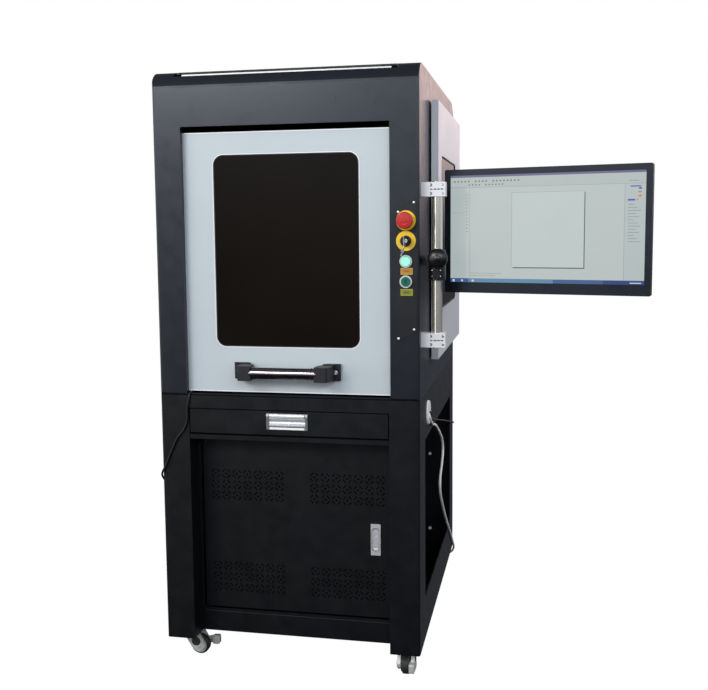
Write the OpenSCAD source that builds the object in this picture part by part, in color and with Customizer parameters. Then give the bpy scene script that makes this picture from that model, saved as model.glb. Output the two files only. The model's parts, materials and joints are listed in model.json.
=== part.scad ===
// Enclosed laser marking machine: a two-part sheet-metal cabinet on casters with a lifting
// front door, a hinged side door, a keyboard drawer, a vented lower door and a swivel monitor.
// Millimetres, +Z up, front towards -Y. Origin on the floor under the middle of the cabinet.

/* [Cabinet] */
// Width across the side walls
cabinet_width = 660; // [500:10:900]
// Depth from the front face to the rear face
cabinet_depth = 840; // [600:10:1100]
// Height of the lower cabinet
lower_height = 638; // [500:1:800]
// Height of the straight part of the upper cabinet
upper_height = 756; // [600:1:950]
// Height of the rounded crown above it
crown_height = 44; // [20:1:90]
// How far the crown curves back at the front
crown_lean = 46; // [20:1:90]
// Depth of the slope at the rear of the crown
rear_slope_depth = 60; // [20:1:120]
// Sheet thickness of the casings
sheet = 2.5; // [1.5:0.1:4]
// Outer bend radius of the casings
bend_radius = 6; // [3:0.5:12]
// Width of the flange round the rear openings
rear_flange = 40; // [20:1:80]

/* [Front door] */
// Width of the front opening
opening_width = 518; // [400:1:600]
// Height of the front opening
opening_height = 661; // [500:1:720]
// Depth of the folded edge round the opening
opening_return = 12; // [6:1:16]
// Setback of the door skin behind the front face
skin_setback = 17; // [14:0.5:22]
// Overlap of the skin behind each side of the opening
skin_overlap = 3; // [1:0.5:5]
// Gap over the chamber floor
skin_floor_gap = 6.5; // [3:0.5:12]
// Height of the skin
skin_height = 641; // [480:1:700]
// Depth of the skin's folded edges
skin_return = 9; // [5:0.5:14]
// Window width
window_width = 365; // [250:1:450]
// Window height
window_height = 472; // [300:1:560]
// Window corner radius
window_radius = 25; // [5:1:50]
// Height of the window's lower edge above the seam
window_base = 123; // [80:1:180]
// Glass thickness
glass_thickness = 4; // [3:0.5:6]
// Glass held behind the skin on each side
glass_lap = 10; // [6:1:20]
// Thickness of the door carrier
carrier_thickness = 8; // [5:0.5:12]
// Width of each carrier arm
carrier_arm = 30; // [20:1:45]
// Height of the carrier's top bar
carrier_bar = 44; // [20:1:70]
// Carrier top over the crease
carrier_rise = 37; // [20:1:44]
// Engagement of the carrier in each rail
rail_engagement = 9; // [5:0.5:12]
// Running clearance in the rails
rail_clearance = 0.6; // [0.3:0.1:1.5]
// Width of each rail
rail_width = 20; // [16:1:22]
// Slot clearance round the door in the crown
slot_clearance = 4; // [2:0.5:8]
// Depth of the fold behind the crown slot
slot_lip = 20; // [12:1:30]

/* [Front handle] */
// Length over both feet
handle_length = 269; // [200:1:350]
// Height of the end brackets
handle_height = 41; // [30:1:60]
// Diameter of the grip tube
grip_diameter = 29; // [20:0.5:36]
// Distance of the grip axis from the door skin
grip_standoff = 45; // [30:1:60]
// Length of each foot outside its bracket
foot_length = 17; // [12:1:35]
// Thickness of each foot
foot_thickness = 9; // [5:0.5:14]
// How much lower the bracket is than the foot at each edge
foot_trim = 2.5; // [0:0.5:5]
// Width of each bracket
bracket_width = 38; // [20:1:45]
// Height of the grip axis above the seam
handle_level = 64; // [40:1:110]

/* [Side door] */
// Height of its lower edge above the seam
side_door_base = 74; // [30:1:120]
// Height of the side door
side_door_height = 661; // [500:1:700]
// Distance of its front edge from the front face
side_door_front = 205; // [150:1:260]
// Length of the side door
side_door_length = 610; // [450:1:620]
// Thickness of the side door
side_door_thickness = 18; // [12:0.5:26]
// Gap between side door and side wall
side_door_gap = 4; // [3:0.5:8]
// Margin of the wall opening inside the door outline
side_opening_margin = 32; // [20:1:60]
// Side window length
side_window_length = 398; // [250:1:460]
// Side window height
side_window_height = 403; // [250:1:500]
// Side window front edge from the door's front edge
side_window_front = 73; // [40:1:140]
// Side window lower edge from the door's lower edge
side_window_base = 125; // [60:1:200]
// Hinge pin diameter
hinge_pin = 6; // [4:0.5:8]
// Hinge barrel diameter
hinge_barrel = 12; // [9:0.5:16]
// Radial clearance of turning pins
pin_clearance = 0.05; // [0.02:0.01:0.1]
// Length of each hinge
hinge_length = 60; // [40:1:90]

/* [Lower cabinet] */
// Width of each front post
post_width = 75; // [50:1:110]
// Depth of the recess between the posts
recess_depth = 60; // [30:1:90]
// Height of the sill over the drawer
sill_height = 32; // [20:1:50]
// Height of the drawer opening
drawer_height = 65; // [50:1:100]
// Height of the frame between drawer and lower door
door_header = 26; // [18:1:50]
// Height of the skirt under the lower door
skirt_height = 62; // [40:1:100]
// Front edge of the side opening from the front face
side_hole_front = 105; // [60:1:160]
// Length of the side opening
side_hole_length = 635; // [400:1:680]
// Lower edge of the side opening above the cabinet's bottom
side_hole_base = 108; // [60:1:160]
// Height of the side opening
side_hole_height = 413; // [250:1:430]
// Grommet centre from the front face
grommet_front = 163; // [120:1:260]
// Grommet centre below the seam
grommet_drop = 58; // [45:1:80]
// Grommet outer diameter
grommet_diameter = 63; // [50:1:80]
// Grommet hole diameter
grommet_hole = 50; // [40:1:60]
// Thickness of the grommet's cap
grommet_cap = 4; // [2:0.5:6]

/* [Drawer] */
// Gap round the drawer front
drawer_gap = 2.5; // [0.5:0.1:4]
// Depth of the drawer front's folded edges
drawer_front_depth = 18; // [12:1:25]
// Depth of the tray
tray_depth = 320; // [200:5:450]
// Height of the tray's side walls
tray_wall = 34; // [20:1:50]
// Width of each slide
slide_width = 12; // [9:0.5:16]
// Running gap beside the tray
slide_gap = 0.5; // [0.3:0.1:1]
// Pull width
pull_width = 105; // [80:1:140]
// Pull height
pull_height = 40; // [30:1:50]
// Rim of the pull's frame
pull_rim = 6; // [4:0.5:10]
// Pull frame thickness
pull_frame_thickness = 2; // [1.5:0.1:3]
// Depth of the cup behind the pull
pull_cup = 14; // [10:1:17]
// Pull flap thickness
flap_thickness = 4; // [3:0.5:6]
// Pull flap pin diameter
flap_pin = 3; // [2:0.5:4]

/* [Lower door] */
// Gap round the lower door
lower_door_gap = 3.5; // [2.5:0.5:6]
// Setback of the lower door behind the skirt
lower_door_setback = 4; // [2:0.5:8]
// Thickness of the lower door
lower_door_thickness = 14; // [10:0.5:20]
// Hinge axis from the door's edge
lower_hinge_inset = 7; // [6:0.5:10]
// Hinge pin diameter of the lower door
lower_hinge_pin = 6; // [4:0.5:8]
// Vent columns in each field
vent_columns = 7; // [3:1:9]
// Vent rows in each field
vent_rows = 3; // [2:1:5]
// Vent pitch
vent_pitch = 28.5; // [24:0.5:30]
// Width over the points of each diamond hole
vent_diamond = 6.5; // [5:0.5:8]
// Slot length of the lattice
vent_slot_length = 10.5; // [6:0.5:12]
// Slot width of the lattice
vent_slot_width = 2.8; // [2:0.1:3.2]
// Sideways distance of the vent fields' centres from the middle
vent_offset = 131.5; // [110:0.5:140]
// Shift of the vent fields towards the lock side
vent_shift = 5.5; // [0:0.5:12]
// Upper vent field centre above the cabinet's bottom
vent_upper = 394.5; // [330:0.5:430]
// Lower vent field centre above the cabinet's bottom
vent_lower = 148; // [110:1:220]
// Lock plate width
lock_width = 25; // [20:1:32]
// Lock plate height
lock_height = 81; // [60:1:100]
// Lock centre from the door's free edge
lock_inset = 35; // [20:1:50]
// Lock centre above the cabinet's bottom
lock_level = 269; // [200:1:350]
// Lock paddle thickness
paddle_thickness = 4; // [3:0.5:6]

/* [Controls] */
// Width of the control plate
plate_width = 51; // [44:1:60]
// Height of the plate's straight edges
plate_height = 318; // [260:1:360]
// Rise of the plate's slanted ends
plate_slant = 29; // [10:1:40]
// Thickness of the control plate
plate_thickness = 1.5; // [1:0.25:3]
// Control centres from the right side wall
controls_inset = 32; // [28:1:42]
// Emergency stop height above the seam
controls_level = 431; // [350:1:480]
// Spacing of the controls
controls_pitch = 48; // [46:1:56]
// Yellow legend ring diameter
legend_diameter = 47; // [40:0.5:47.5]
// Push button bezel diameter
bezel_diameter = 29.5; // [24:0.5:34]
// Push button cap diameter
cap_diameter = 22; // [18:0.5:25]
// Push button travel
button_travel = 4; // [2:0.5:6]
// Emergency stop head diameter
stop_diameter = 40; // [30:1:44]
// Emergency stop travel
stop_travel = 6; // [4:0.5:9]

/* [Monitor] */
// Post diameter
post_diameter = 25; // [20:0.5:32]
// Post axis from the side wall
post_standoff = 37; // [30:1:50]
// Post axis from the front face
post_front = 45; // [30:1:70]
// Lower bracket centre above the seam
post_bracket_base = 144; // [100:1:200]
// Distance of the bracket centres
post_bracket_pitch = 360; // [250:1:400]
// Bracket height
post_bracket_height = 34; // [24:1:44]
// Bracket depth
post_bracket_depth = 34; // [30:1:44]
// Collar diameter
collar_diameter = 41; // [36:1:50]
// Collar height
collar_height = 34; // [20:1:50]
// Collar base above the seam
collar_level = 288; // [240:1:360]
// Monitor width
monitor_width = 490; // [400:1:560]
// Monitor height
monitor_height = 298; // [240:1:340]
// Monitor rim thickness
monitor_rim = 20; // [14:1:30]
// Side border round the screen
screen_border = 14; // [8:1:20]
// Bottom border under the screen
screen_chin = 25; // [10:1:30]
// Monitor centre from the right side wall
monitor_offset = 286; // [260:1:360]
// Monitor centre from the front face
monitor_front = 50; // [0:1:100]
// Monitor centre above the seam
monitor_level = 404; // [350:1:450]
// Monitor turn towards the operator
monitor_turn = 14; // [0:1:30]
// Elbow diameter
elbow_diameter = 38; // [30:1:46]
// Distance of the elbow behind the post
elbow_reach = 120; // [110:1:130]
// Length of the elbow barrel under the arm
elbow_drop = 62; // [10:1:80]
// Elbow sideways from the post
elbow_side = 30; // [25:1:40]
// Bend of the inner arm, sideways from the post towards the cabinet
bend_side = 15; // [10:1:18]
// Distance of the inner arm's bend behind the post
bend_reach = 113; // [105:1:118]
// Width of the inner arm's bars
inner_bar = 20; // [16:1:24]
// Width of the outer arm's bar
outer_bar = 22; // [18:1:26]
// Thickness of the arm links
arm_thickness = 24; // [16:1:32]
// Distance of the head pivot behind the monitor's face
head_reach = 110; // [100:1:125]
// Depth of the monitor's back cover behind its rim
back_depth = 30; // [24:1:34]

/* [Inside] */
// Worktable width
table_width = 400; // [300:5:480]
// Worktable depth
table_depth = 300; // [200:5:360]
// Worktable thickness
table_thickness = 15; // [10:1:20]
// Worktable height over the chamber floor
table_level = 60; // [40:1:120]
// Worktable hole spacing across
table_hole_x = 300; // [200:5:360]
// Worktable hole spacing in depth
table_hole_y = 200; // [100:5:260]
// Worktable hole diameter
table_hole = 6.6; // [5:0.1:9]
// Column width
column_width = 130; // [100:5:180]
// Column depth
column_depth = 70; // [50:5:100]
// Column height over the chamber floor
column_height = 640; // [450:10:680]
// Gap between the table and the column
column_gap = 25; // [10:1:60]
// Lift screw diameter
screw_diameter = 16; // [12:1:20]
// Fume port diameter
port_diameter = 75; // [60:1:100]
// Fume port length
port_length = 40; // [25:1:60]

/* [Casters] */
// Height of the casters
caster_height = 72; // [60:1:100]
// Wheel diameter
wheel_diameter = 50; // [40:1:60]
// Wheel width
wheel_width = 24; // [18:1:30]
// Caster pivot from the side wall
caster_inset_x = 42; // [36:1:70]
// Caster pivot from the front and rear faces
caster_inset_y = 76; // [60:1:90]
// Trail of the wheel behind the pivot
caster_trail = 20; // [10:1:26]
// Axle diameter
axle_diameter = 8; // [6:0.5:10]
// Top plate size
top_plate = 58; // [50:1:66]
// Fork sheet thickness
fork_sheet = 2.5; // [2:0.25:4]
// Thickness of the cast fork's cheeks
fork_cheek = 9; // [5:0.5:10]
// Side gap beside the wheel
wheel_gap = 1.5; // [1:0.25:3]

/* [Cords] */
// Mains cord diameter
mains_diameter = 7; // [6:0.5:10]
// Chamber cord diameter
chamber_diameter = 5; // [4:0.5:5.5]
// Data lead diameter
data_diameter = 3.6; // [3:0.2:5]

/* [Hidden] */
$fn = 32;
eps = 0.01;
touch = 0.3;

// Levels and planes that several pieces share
half_width = cabinet_width / 2;
front = -cabinet_depth / 2;
rear = cabinet_depth / 2;
z_base = caster_height;
z_seam = z_base + lower_height;
z_crease = z_seam + upper_height;
z_top = z_crease + crown_height;
z_floor = z_seam + sheet;
inner_half = half_width - sheet;

// Front door levels
skin_face = front + skin_setback;
skin_half = opening_width / 2 + skin_overlap;
skin_base = z_floor + skin_floor_gap;
skin_top = skin_base + skin_height;
opening_top = z_floor + opening_height;
carrier_face = skin_face + skin_return;
carrier_back = carrier_face + carrier_thickness;
rail_inner = skin_half + 4;
carrier_half = rail_inner + rail_engagement;
carrier_top = z_crease + carrier_rise;
rail_top = z_crease - 6;
slot_half = carrier_half + slot_clearance;
slot_front = skin_face - slot_clearance;
slot_back = carrier_back + slot_clearance;
grip_level = z_seam + handle_level;
grip_axis = skin_face - grip_standoff;

// Lower front
post_inner = half_width - post_width;
recess_face = front + recess_depth;
z_drawer_top = z_seam - sill_height;
z_drawer_base = z_drawer_top - drawer_height;
z_shelf = z_drawer_base - 8;
door_hole_top = z_drawer_base - door_header;
door_hole_base = z_base + skirt_height;
door_hole_half = post_inner - 7;
lower_door_half = door_hole_half - lower_door_gap;
lower_door_face = recess_face + lower_door_setback;
lower_hinge_x = -lower_door_half + lower_hinge_inset;
lower_hinge_y = lower_door_face + lower_door_thickness / 2;
lower_door_top = door_hole_top - lower_door_gap;
lower_door_base = door_hole_base + lower_door_gap;
lower_door_sheet = 2;
hinge_plate = 3;

// Side door
side_door_inner = half_width + side_door_gap;
side_door_outer = side_door_inner + side_door_thickness;
side_door_y = front + side_door_front;
side_door_back = side_door_y + side_door_length;
side_door_z = z_seam + side_door_base;
side_hinge_x = side_door_inner + side_door_thickness / 2;
side_hinge_y = side_door_back + hinge_barrel / 2 + 3;
side_hinge_levels = [side_door_z + 0.12 * side_door_height, side_door_z + 0.88 * side_door_height];

// Controls
controls_x = half_width - controls_inset;
plate_face = front - plate_thickness;
stop_z = z_seam + controls_level;
key_z = stop_z - controls_pitch;
start_z = key_z - controls_pitch;
reset_z = start_z - controls_pitch;
legend_thickness = 1;
bezel_depth = 6;
shaft_diameter = 16;

// Monitor and its arm
post_x = half_width + post_standoff;
post_y = front + post_front;
post_low = z_seam + post_bracket_base;
post_high = post_low + post_bracket_pitch;
collar_z = z_seam + collar_level;
elbow_x = post_x + elbow_side;
elbow_y = post_y + elbow_reach;
monitor_x = half_width + monitor_offset;
monitor_y = front + monitor_front;
monitor_z = z_seam + monitor_level;
head_x = monitor_x + head_reach * sin(monitor_turn);
head_y = monitor_y + head_reach * cos(monitor_turn);
arm_z = collar_z + collar_height + touch;
outer_arm_z = arm_z + arm_thickness + touch;
bend_x = post_x - bend_side;
bend_y = post_y + bend_reach;
tilt_axis_reach = 70;

// Inside of the chamber
table_y = -20;
table_z = z_floor + table_level;
column_front = table_y + table_depth / 2 + column_gap;
column_back = column_front + column_depth;
column_top = z_floor + column_height;
carriage_z = z_floor + 380;
screw_y = column_front + column_depth / 2 - 6;

// Bay under the chamber: the computer stands on the right, the laser source on the left
case_x = 0.26 * cabinet_width;
case_width = 0.27 * cabinet_width;
case_depth = 0.48 * cabinet_depth;
case_height = 0.56 * (z_floor - z_base);
laser_depth = 0.43 * cabinet_depth;
laser_height = 0.20 * (z_floor - z_base);

// Casters: place and turn of the trail
caster_x = half_width - caster_inset_x;
caster_y = rear - caster_inset_y;
plate_sheet = 3;
race_height = 5;
fork_top_z = z_base - plate_sheet - race_height;
axle_z = wheel_diameter / 2;
fork_half = wheel_width / 2 + wheel_gap;

// Cord routes: points on each cord's middle line, chosen along the walls and the floor
wall_x = half_width;
mains_radius = mains_diameter / 2;
mains_x = wall_x + mains_radius + 0.6;
grommet_y = front + grommet_front;
grommet_z = z_seam - grommet_drop;
mains_route = [[wall_x + 2, grommet_y - 10, grommet_z - 8], [wall_x + 4.2, grommet_y + 4, grommet_z - 18],
    [mains_x + 1.6, grommet_y + 24, grommet_z - 30], [mains_x + 1, grommet_y + 66, grommet_z - 45],
    [mains_x, -115, 588], [mains_x, -12, 544], [mains_x, 44, 513], [mains_x, 68, 480], [mains_x, 42, 446],
    [mains_x, 0, 420], [mains_x, -9, 384], [mains_x, 32, 336], [mains_x, 170, 234], [mains_x, 320, 138],
    [mains_x, 384, 92], [mains_x - 1, 425, 62], [322, 455, 36], [296, 481, 15], [260, 496, mains_radius + 1.5],
    [225, 499, mains_radius + 0.4], [190, 498, mains_radius + 0.2]];
coil_centre = [176, 544];
coil_radius = 44;
coil_band = 3 * mains_diameter;
plug_centre = [96, 498];
tail_route = [[166, 500, mains_radius + mains_diameter], [150, 497, mains_radius + 3], [134, 498, mains_radius + 6],
    [116, 498, 14]];
cord_x = -wall_x - chamber_diameter / 2 - 1;
cord_y = front - chamber_diameter / 2 - 1;
cord_z = z_floor + chamber_diameter / 2 + 0.4;
chamber_route = [[-252, -332, z_floor], [-252, -333, cord_z + 8], [-252, -344, cord_z + 14], [-252, -360, cord_z + 6],
    [-252, -376, cord_z + 0.6], [-252, -394, cord_z], [-252, front + 5, cord_z], [-252.5, cord_y + 2, z_floor - 2],
    [-254, cord_y, z_floor - 14], [-258.5, cord_y, 676], [-260, cord_y, 645], [-270, cord_y, 621],
    [-287, cord_y, 600], [-307, cord_y, 558], [-320, cord_y, 528], [-329, cord_y - 0.5, 511],
    [cord_x, front + 6, 496], [cord_x, -380, 470], [cord_x, -280, 412], [cord_x, -120, 352], [cord_x, 60, 318],
    [cord_x, 240, 318], [cord_x, 370, 340], [cord_x + 3, 420, 352], [-316, 434, 358], [-292, 436, 362],
    [-280, 430, 362], [-275, rear + sheet, 362]];
data_radius = data_diameter / 2;
data_x = wall_x + data_radius + 0.8;
data_route = [[wall_x + grommet_cap, grommet_y - 2, grommet_z + 2], [wall_x + 6, grommet_y + 12, grommet_z - 2],
    [data_x + 0.5, -215, 630], [data_x, -140, 610], [data_x, 45, 570], [data_x, 255, 524], [data_x, 392, 494],
    [data_x - 1, 422, 486], [wall_x - 8, 431, 481], [300, 433, 475], [284, 430, 472], [278, rear + sheet, 471]];

module caster_place(side, end, turn) {
    translate([side * caster_x, end * caster_y, 0]) rotate([0, 0, turn]) children();
}
turn_front_left = 0;
turn_front_right = -90;
turn_rear_left = 75;
turn_rear_right = 105;

// ---- helpers ----
module along_x(length) rotate([90, 0, 90]) linear_extrude(height = length, center = true) children();
module along_y(y0, y1) translate([0, y1, 0]) rotate([90, 0, 0]) linear_extrude(height = y1 - y0) children();
module box(x0, x1, y0, y1, z0, z1) translate([x0, y0, z0]) cube([x1 - x0, y1 - y0, z1 - z0]);
module disc_y(x, z, diameter, y0, y1, sides = 40)
    translate([x, y1, z]) rotate([90, 0, 0]) cylinder(d = diameter, h = y1 - y0, $fn = sides);
module rod(x, y, z0, z1, diameter, sides = 32)
    translate([x, y, z0]) cylinder(d = diameter, h = z1 - z0, $fn = sides);
module round_rect(width, height, radius)
    offset(r = radius, $fn = 32) square([width - 2 * radius, height - 2 * radius], center = true);
module ring_y(x, z, outer, inner, y0, y1) difference() {
    disc_y(x, z, outer, y0, y1, 48);
    disc_y(x, z, inner, y0 - 1, y1 + 1, 40);
}

// ---- lower cabinet ----
module plan_outline(inset) offset(r = bend_radius, $fn = 24)
    square([cabinet_width - 2 * (inset + bend_radius), cabinet_depth - 2 * (inset + bend_radius)], center = true);

module post_hollow(side) mirror([side < 0 ? 1 : 0, 0, 0])
    box(post_inner + sheet, inner_half, front + sheet, recess_face, z_base + sheet, z_seam - sheet);

module lower_hinge_plate(level) difference() {
    box(-post_inner, lower_hinge_x + 12, recess_face + sheet - eps, lower_hinge_y + 10, level, level + hinge_plate);
    rod(lower_hinge_x, lower_hinge_y, level - 1, level + hinge_plate + 1, lower_hinge_pin + 2 * pin_clearance);
}

module lower_shell() color([0.09, 0.09, 0.10]) {
    lower_casing();
    lower_hinge_plate(door_hole_base - hinge_plate);
    lower_hinge_plate(door_hole_top);
}

module lower_casing() difference() {
    translate([0, 0, z_base]) linear_extrude(height = lower_height) plan_outline(0);
    box(-inner_half, inner_half, recess_face + sheet, rear - sheet, z_base + sheet, z_shelf - sheet);
    box(-inner_half, inner_half, recess_face + sheet, rear - sheet, z_shelf, z_seam - sheet);
    box(-post_inner, post_inner, front - 1, recess_face, z_base - 1, z_drawer_base);
    box(-post_inner, post_inner, front - 1, recess_face + sheet + 1, z_drawer_base, z_drawer_top);
    box(-post_inner, post_inner, front + sheet, recess_face, z_drawer_top + sheet, z_seam - sheet);
    box(-door_hole_half, door_hole_half, recess_face - 1, recess_face + sheet + 1, door_hole_base, door_hole_top);
    for (side = [-1, 1]) post_hollow(side);
    box(inner_half - 1, half_width + 1, front + side_hole_front, front + side_hole_front + side_hole_length,
        z_base + side_hole_base, z_base + side_hole_base + side_hole_height);
    box(-half_width + rear_flange, half_width - rear_flange, rear - sheet - 1, rear + 1,
        z_base + rear_flange, z_seam - rear_flange);
    translate([half_width, front + grommet_front, z_seam - grommet_drop]) rotate([0, 90, 0])
        cylinder(d = grommet_hole, h = 4 * sheet, center = true);
}

module panel_vents(columns, rows, pitch, length, width) for (i = [0:columns - 1], j = [0:rows - 1])
    translate([(i - (columns - 1) / 2) * pitch, (j - (rows - 1) / 2) * length * 1.6])
        square([width, length], center = true);

module lower_rear_panel() color([0.10, 0.10, 0.11]) along_y(rear, rear + sheet) difference() {
    translate([0, (z_base + z_seam) / 2]) square([cabinet_width - 2 * rear_flange + 24,
        lower_height - 2 * rear_flange + 24], center = true);
    translate([0, z_base + 0.7 * lower_height]) panel_vents(16, 2, 14, 40, 5);
}

// ---- upper cabinet ----
module side_outline(inset) offset(r = bend_radius, $fn = 24) offset(delta = -bend_radius - inset)
    polygon(concat([[front, z_seam]], [for (a = [0:9:90]) [front + crown_lean * (1 - cos(a)), z_crease + crown_height * sin(a)]],
        [[rear - rear_slope_depth, z_top], [rear, z_top - crown_height + 4], [rear, z_seam]]));

module upper_body(inset) intersection() {
    along_x(cabinet_width - 2 * inset) side_outline(inset);
    translate([0, 0, z_seam - 1]) linear_extrude(height = z_top - z_seam + 2) plan_outline(inset);
}

module opening_frame() along_y(front + eps, front + sheet + opening_return) difference() {
    translate([0, (z_floor + opening_top) / 2])
        square([opening_width + 2 * sheet, opening_height + 2 * sheet], center = true);
    translate([0, (z_floor + opening_top) / 2]) square([opening_width, opening_height], center = true);
    translate([0, z_floor - sheet]) square([opening_width + 4 * sheet, 2 * sheet + eps], center = true);
}

module upper_shell() color([0.09, 0.09, 0.10]) {
    difference() {
        upper_body(0);
        upper_body(sheet);
        box(-opening_width / 2, opening_width / 2, front - 1, front + sheet + 1, z_floor, opening_top);
        box(-slot_half, slot_half, slot_front, slot_back, z_crease - 1, z_top + 1);
        box(half_width - sheet - 1, half_width + 1, side_door_y + side_opening_margin,
            side_door_back - side_opening_margin, side_door_z + side_opening_margin,
            side_door_z + side_door_height - side_opening_margin);
        box(-half_width + rear_flange, half_width - rear_flange, rear - sheet - 1, rear + 1,
            z_seam + rear_flange, z_crease - rear_flange);
        for (level = [stop_z, key_z, start_z, reset_z])
            disc_y(controls_x, level, shaft_diameter + 2, front - 1, front + sheet + 1);
    }
    difference() {
        opening_frame();
        box(-half_width, half_width, front - 1, front + sheet + opening_return + 1, z_seam, z_floor);
    }
    box(-slot_half - 3, slot_half + 3, slot_back, slot_back + sheet, z_top - slot_lip, z_top - 0.5);
}

module upper_rear_panel() color([0.10, 0.10, 0.11]) {
    along_y(rear, rear + sheet) difference() {
        translate([0, (z_seam + z_crease) / 2]) square([cabinet_width - 2 * rear_flange + 24,
            upper_height - 2 * rear_flange + 24], center = true);
        translate([0, port_z]) circle(d = port_diameter - 2 * sheet, $fn = 48);
        translate([0, z_seam + 0.3 * upper_height]) panel_vents(16, 2, 14, 40, 5);
    }
    ring_y(0, port_z, port_diameter, port_diameter - 2 * sheet, rear + sheet - eps, rear + sheet + port_length);
}
port_z = z_crease - 160;

// ---- front door ----
module door_rail() difference() {
    box(rail_inner, rail_inner + rail_width, front + sheet, carrier_back + 6, z_floor, rail_top);
    box(rail_inner - 1, carrier_half + rail_clearance, carrier_face - rail_clearance,
        carrier_back + rail_clearance, z_floor - 1, rail_top + 1);
    box(rail_inner - 1, rail_inner + rail_width + 1, front, front + sheet + bend_radius, z_floor - 1,
        z_floor + bend_radius);
}

module door_rails() color([0.10, 0.10, 0.11]) for (side = [0, 1]) mirror([side, 0, 0]) door_rail();

module door_skin() color([0.76, 0.80, 0.84]) difference() {
    box(-skin_half, skin_half, skin_face, skin_face + skin_return, skin_base, skin_top);
    box(-skin_half + sheet, skin_half - sheet, skin_face + sheet, skin_face + skin_return + 1,
        skin_base + sheet, skin_top - sheet);
    along_y(skin_face - 1, skin_face + sheet + 1)
        translate([0, z_seam + window_base + window_height / 2])
            round_rect(window_width, window_height, window_radius);
}

module door_window() color([0.08, 0.06, 0.05]) along_y(skin_face + sheet, skin_face + sheet + glass_thickness)
    translate([0, z_seam + window_base + window_height / 2])
        round_rect(window_width + 2 * glass_lap, window_height + 2 * glass_lap, window_radius + glass_lap);

module door_carrier() color([0.86, 0.87, 0.88]) along_y(carrier_face, carrier_back) {
    for (side = [-1, 1]) translate([side * (carrier_half - carrier_arm / 2), (skin_base + carrier_top) / 2])
        square([carrier_arm, carrier_top - skin_base], center = true);
    translate([0, carrier_top - carrier_bar / 2]) square([2 * carrier_half, carrier_bar], center = true);
}

module handle_foot() {
    inner = handle_length / 2 - foot_length - bracket_width;
    outer = handle_length / 2;
    nose = grip_standoff + 14;
    translate([0, skin_face, grip_level - handle_height / 2]) difference() {
        linear_extrude(height = handle_height) polygon([[inner, -nose + 32], [outer - 34, 0], [outer, 0],
            [outer, -foot_thickness], [outer - foot_length + 4, -foot_thickness], [outer - foot_length - 1, -nose + 16],
            [outer - foot_length - 5, -nose + 3], [outer - foot_length - 9, -nose], [inner, -nose]]);
        for (level = [-eps, handle_height - foot_trim]) translate([0, -nose - 1, level])
            cube([outer - foot_length + 1, nose - foot_thickness - 2, foot_trim + eps]);
        translate([inner - 1, -grip_standoff, handle_height / 2]) rotate([0, 90, 0])
            cylinder(d = grip_diameter, h = 5, $fn = 40);
        translate([outer - 12, 1, handle_height / 2]) rotate([90, 0, 0]) cylinder(d = 5.5, h = foot_thickness + 2);
    }
}

module handle_feet() color([0.06, 0.06, 0.06]) for (side = [0, 1]) mirror([side, 0, 0]) handle_foot();

module handle_tube() color([0.55, 0.54, 0.58])
    translate([0, grip_axis, grip_level]) rotate([0, 90, 0]) difference() {
        cylinder(d = grip_diameter, h = handle_length - 2 * (foot_length + bracket_width) + 8, center = true, $fn = 40);
        cylinder(d = grip_diameter - 4, h = handle_length, center = true, $fn = 24);
    }

// ---- side door ----
module side_hinge_fixed(level) {
    third = hinge_length / 3;
    difference() {
        union() {
            box(half_width, half_width + 3, side_hinge_y - 4, side_hinge_y + 12,
                level - hinge_length / 2, level + hinge_length / 2);
            for (end = [-1, 1]) {
                box(half_width + 2, side_hinge_x, side_hinge_y - 3, side_hinge_y + 3,
                    level + end * third - third / 2 + 0.15, level + end * third + third / 2 - 0.15);
                rod(side_hinge_x, side_hinge_y, level + end * third - third / 2 + 0.15,
                    level + end * third + third / 2 - 0.15, hinge_barrel);
            }
        }
        box(half_width + 3, side_hinge_x + hinge_barrel, side_hinge_y - 10, side_hinge_y + 20,
            level - third / 2 - 0.15, level + third / 2 + 0.15);
    }
    rod(side_hinge_x, side_hinge_y, level - hinge_length / 2 + 1, level + hinge_length / 2 - 1, hinge_pin);
}

module side_door_hinges() color([0.70, 0.71, 0.72]) for (level = side_hinge_levels) side_hinge_fixed(level);

module side_hinge_moving(level) difference() {
    union() {
        rod(side_hinge_x, side_hinge_y, level - hinge_length / 6 + 0.15, level + hinge_length / 6 - 0.15, hinge_barrel);
        box(side_hinge_x - 2, side_hinge_x + hinge_barrel / 2, side_door_back - eps, side_hinge_y,
            level - hinge_length / 6 + 0.15, level + hinge_length / 6 - 0.15);
    }
    rod(side_hinge_x, side_hinge_y, level - hinge_length, level + hinge_length, hinge_pin + 2 * pin_clearance);
}

module side_window_place() translate([side_door_y + side_window_front + side_window_length / 2,
    side_door_z + side_window_base + side_window_height / 2]) children();

module along_side(x0, x1) translate([x0, 0, 0]) rotate([90, 0, 90]) linear_extrude(height = x1 - x0) children();

module side_door_panel() color([0.80, 0.82, 0.85]) {
    difference() {
        box(side_door_inner, side_door_outer, side_door_y, side_door_back, side_door_z, side_door_z + side_door_height);
        box(side_door_inner - 1, side_door_outer - sheet, side_door_y + sheet, side_door_back - sheet,
            side_door_z + sheet, side_door_z + side_door_height - sheet);
        along_side(side_door_outer - sheet - 1, side_door_outer + 1) side_window_place()
            round_rect(side_window_length, side_window_height, window_radius);
    }
    for (level = side_hinge_levels) side_hinge_moving(level);
}

module side_door_window() color([0.08, 0.07, 0.06])
    along_side(side_door_outer - sheet - glass_thickness, side_door_outer - sheet) side_window_place()
        round_rect(side_window_length + 2 * glass_lap, side_window_height + 2 * glass_lap, window_radius + glass_lap);

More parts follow.
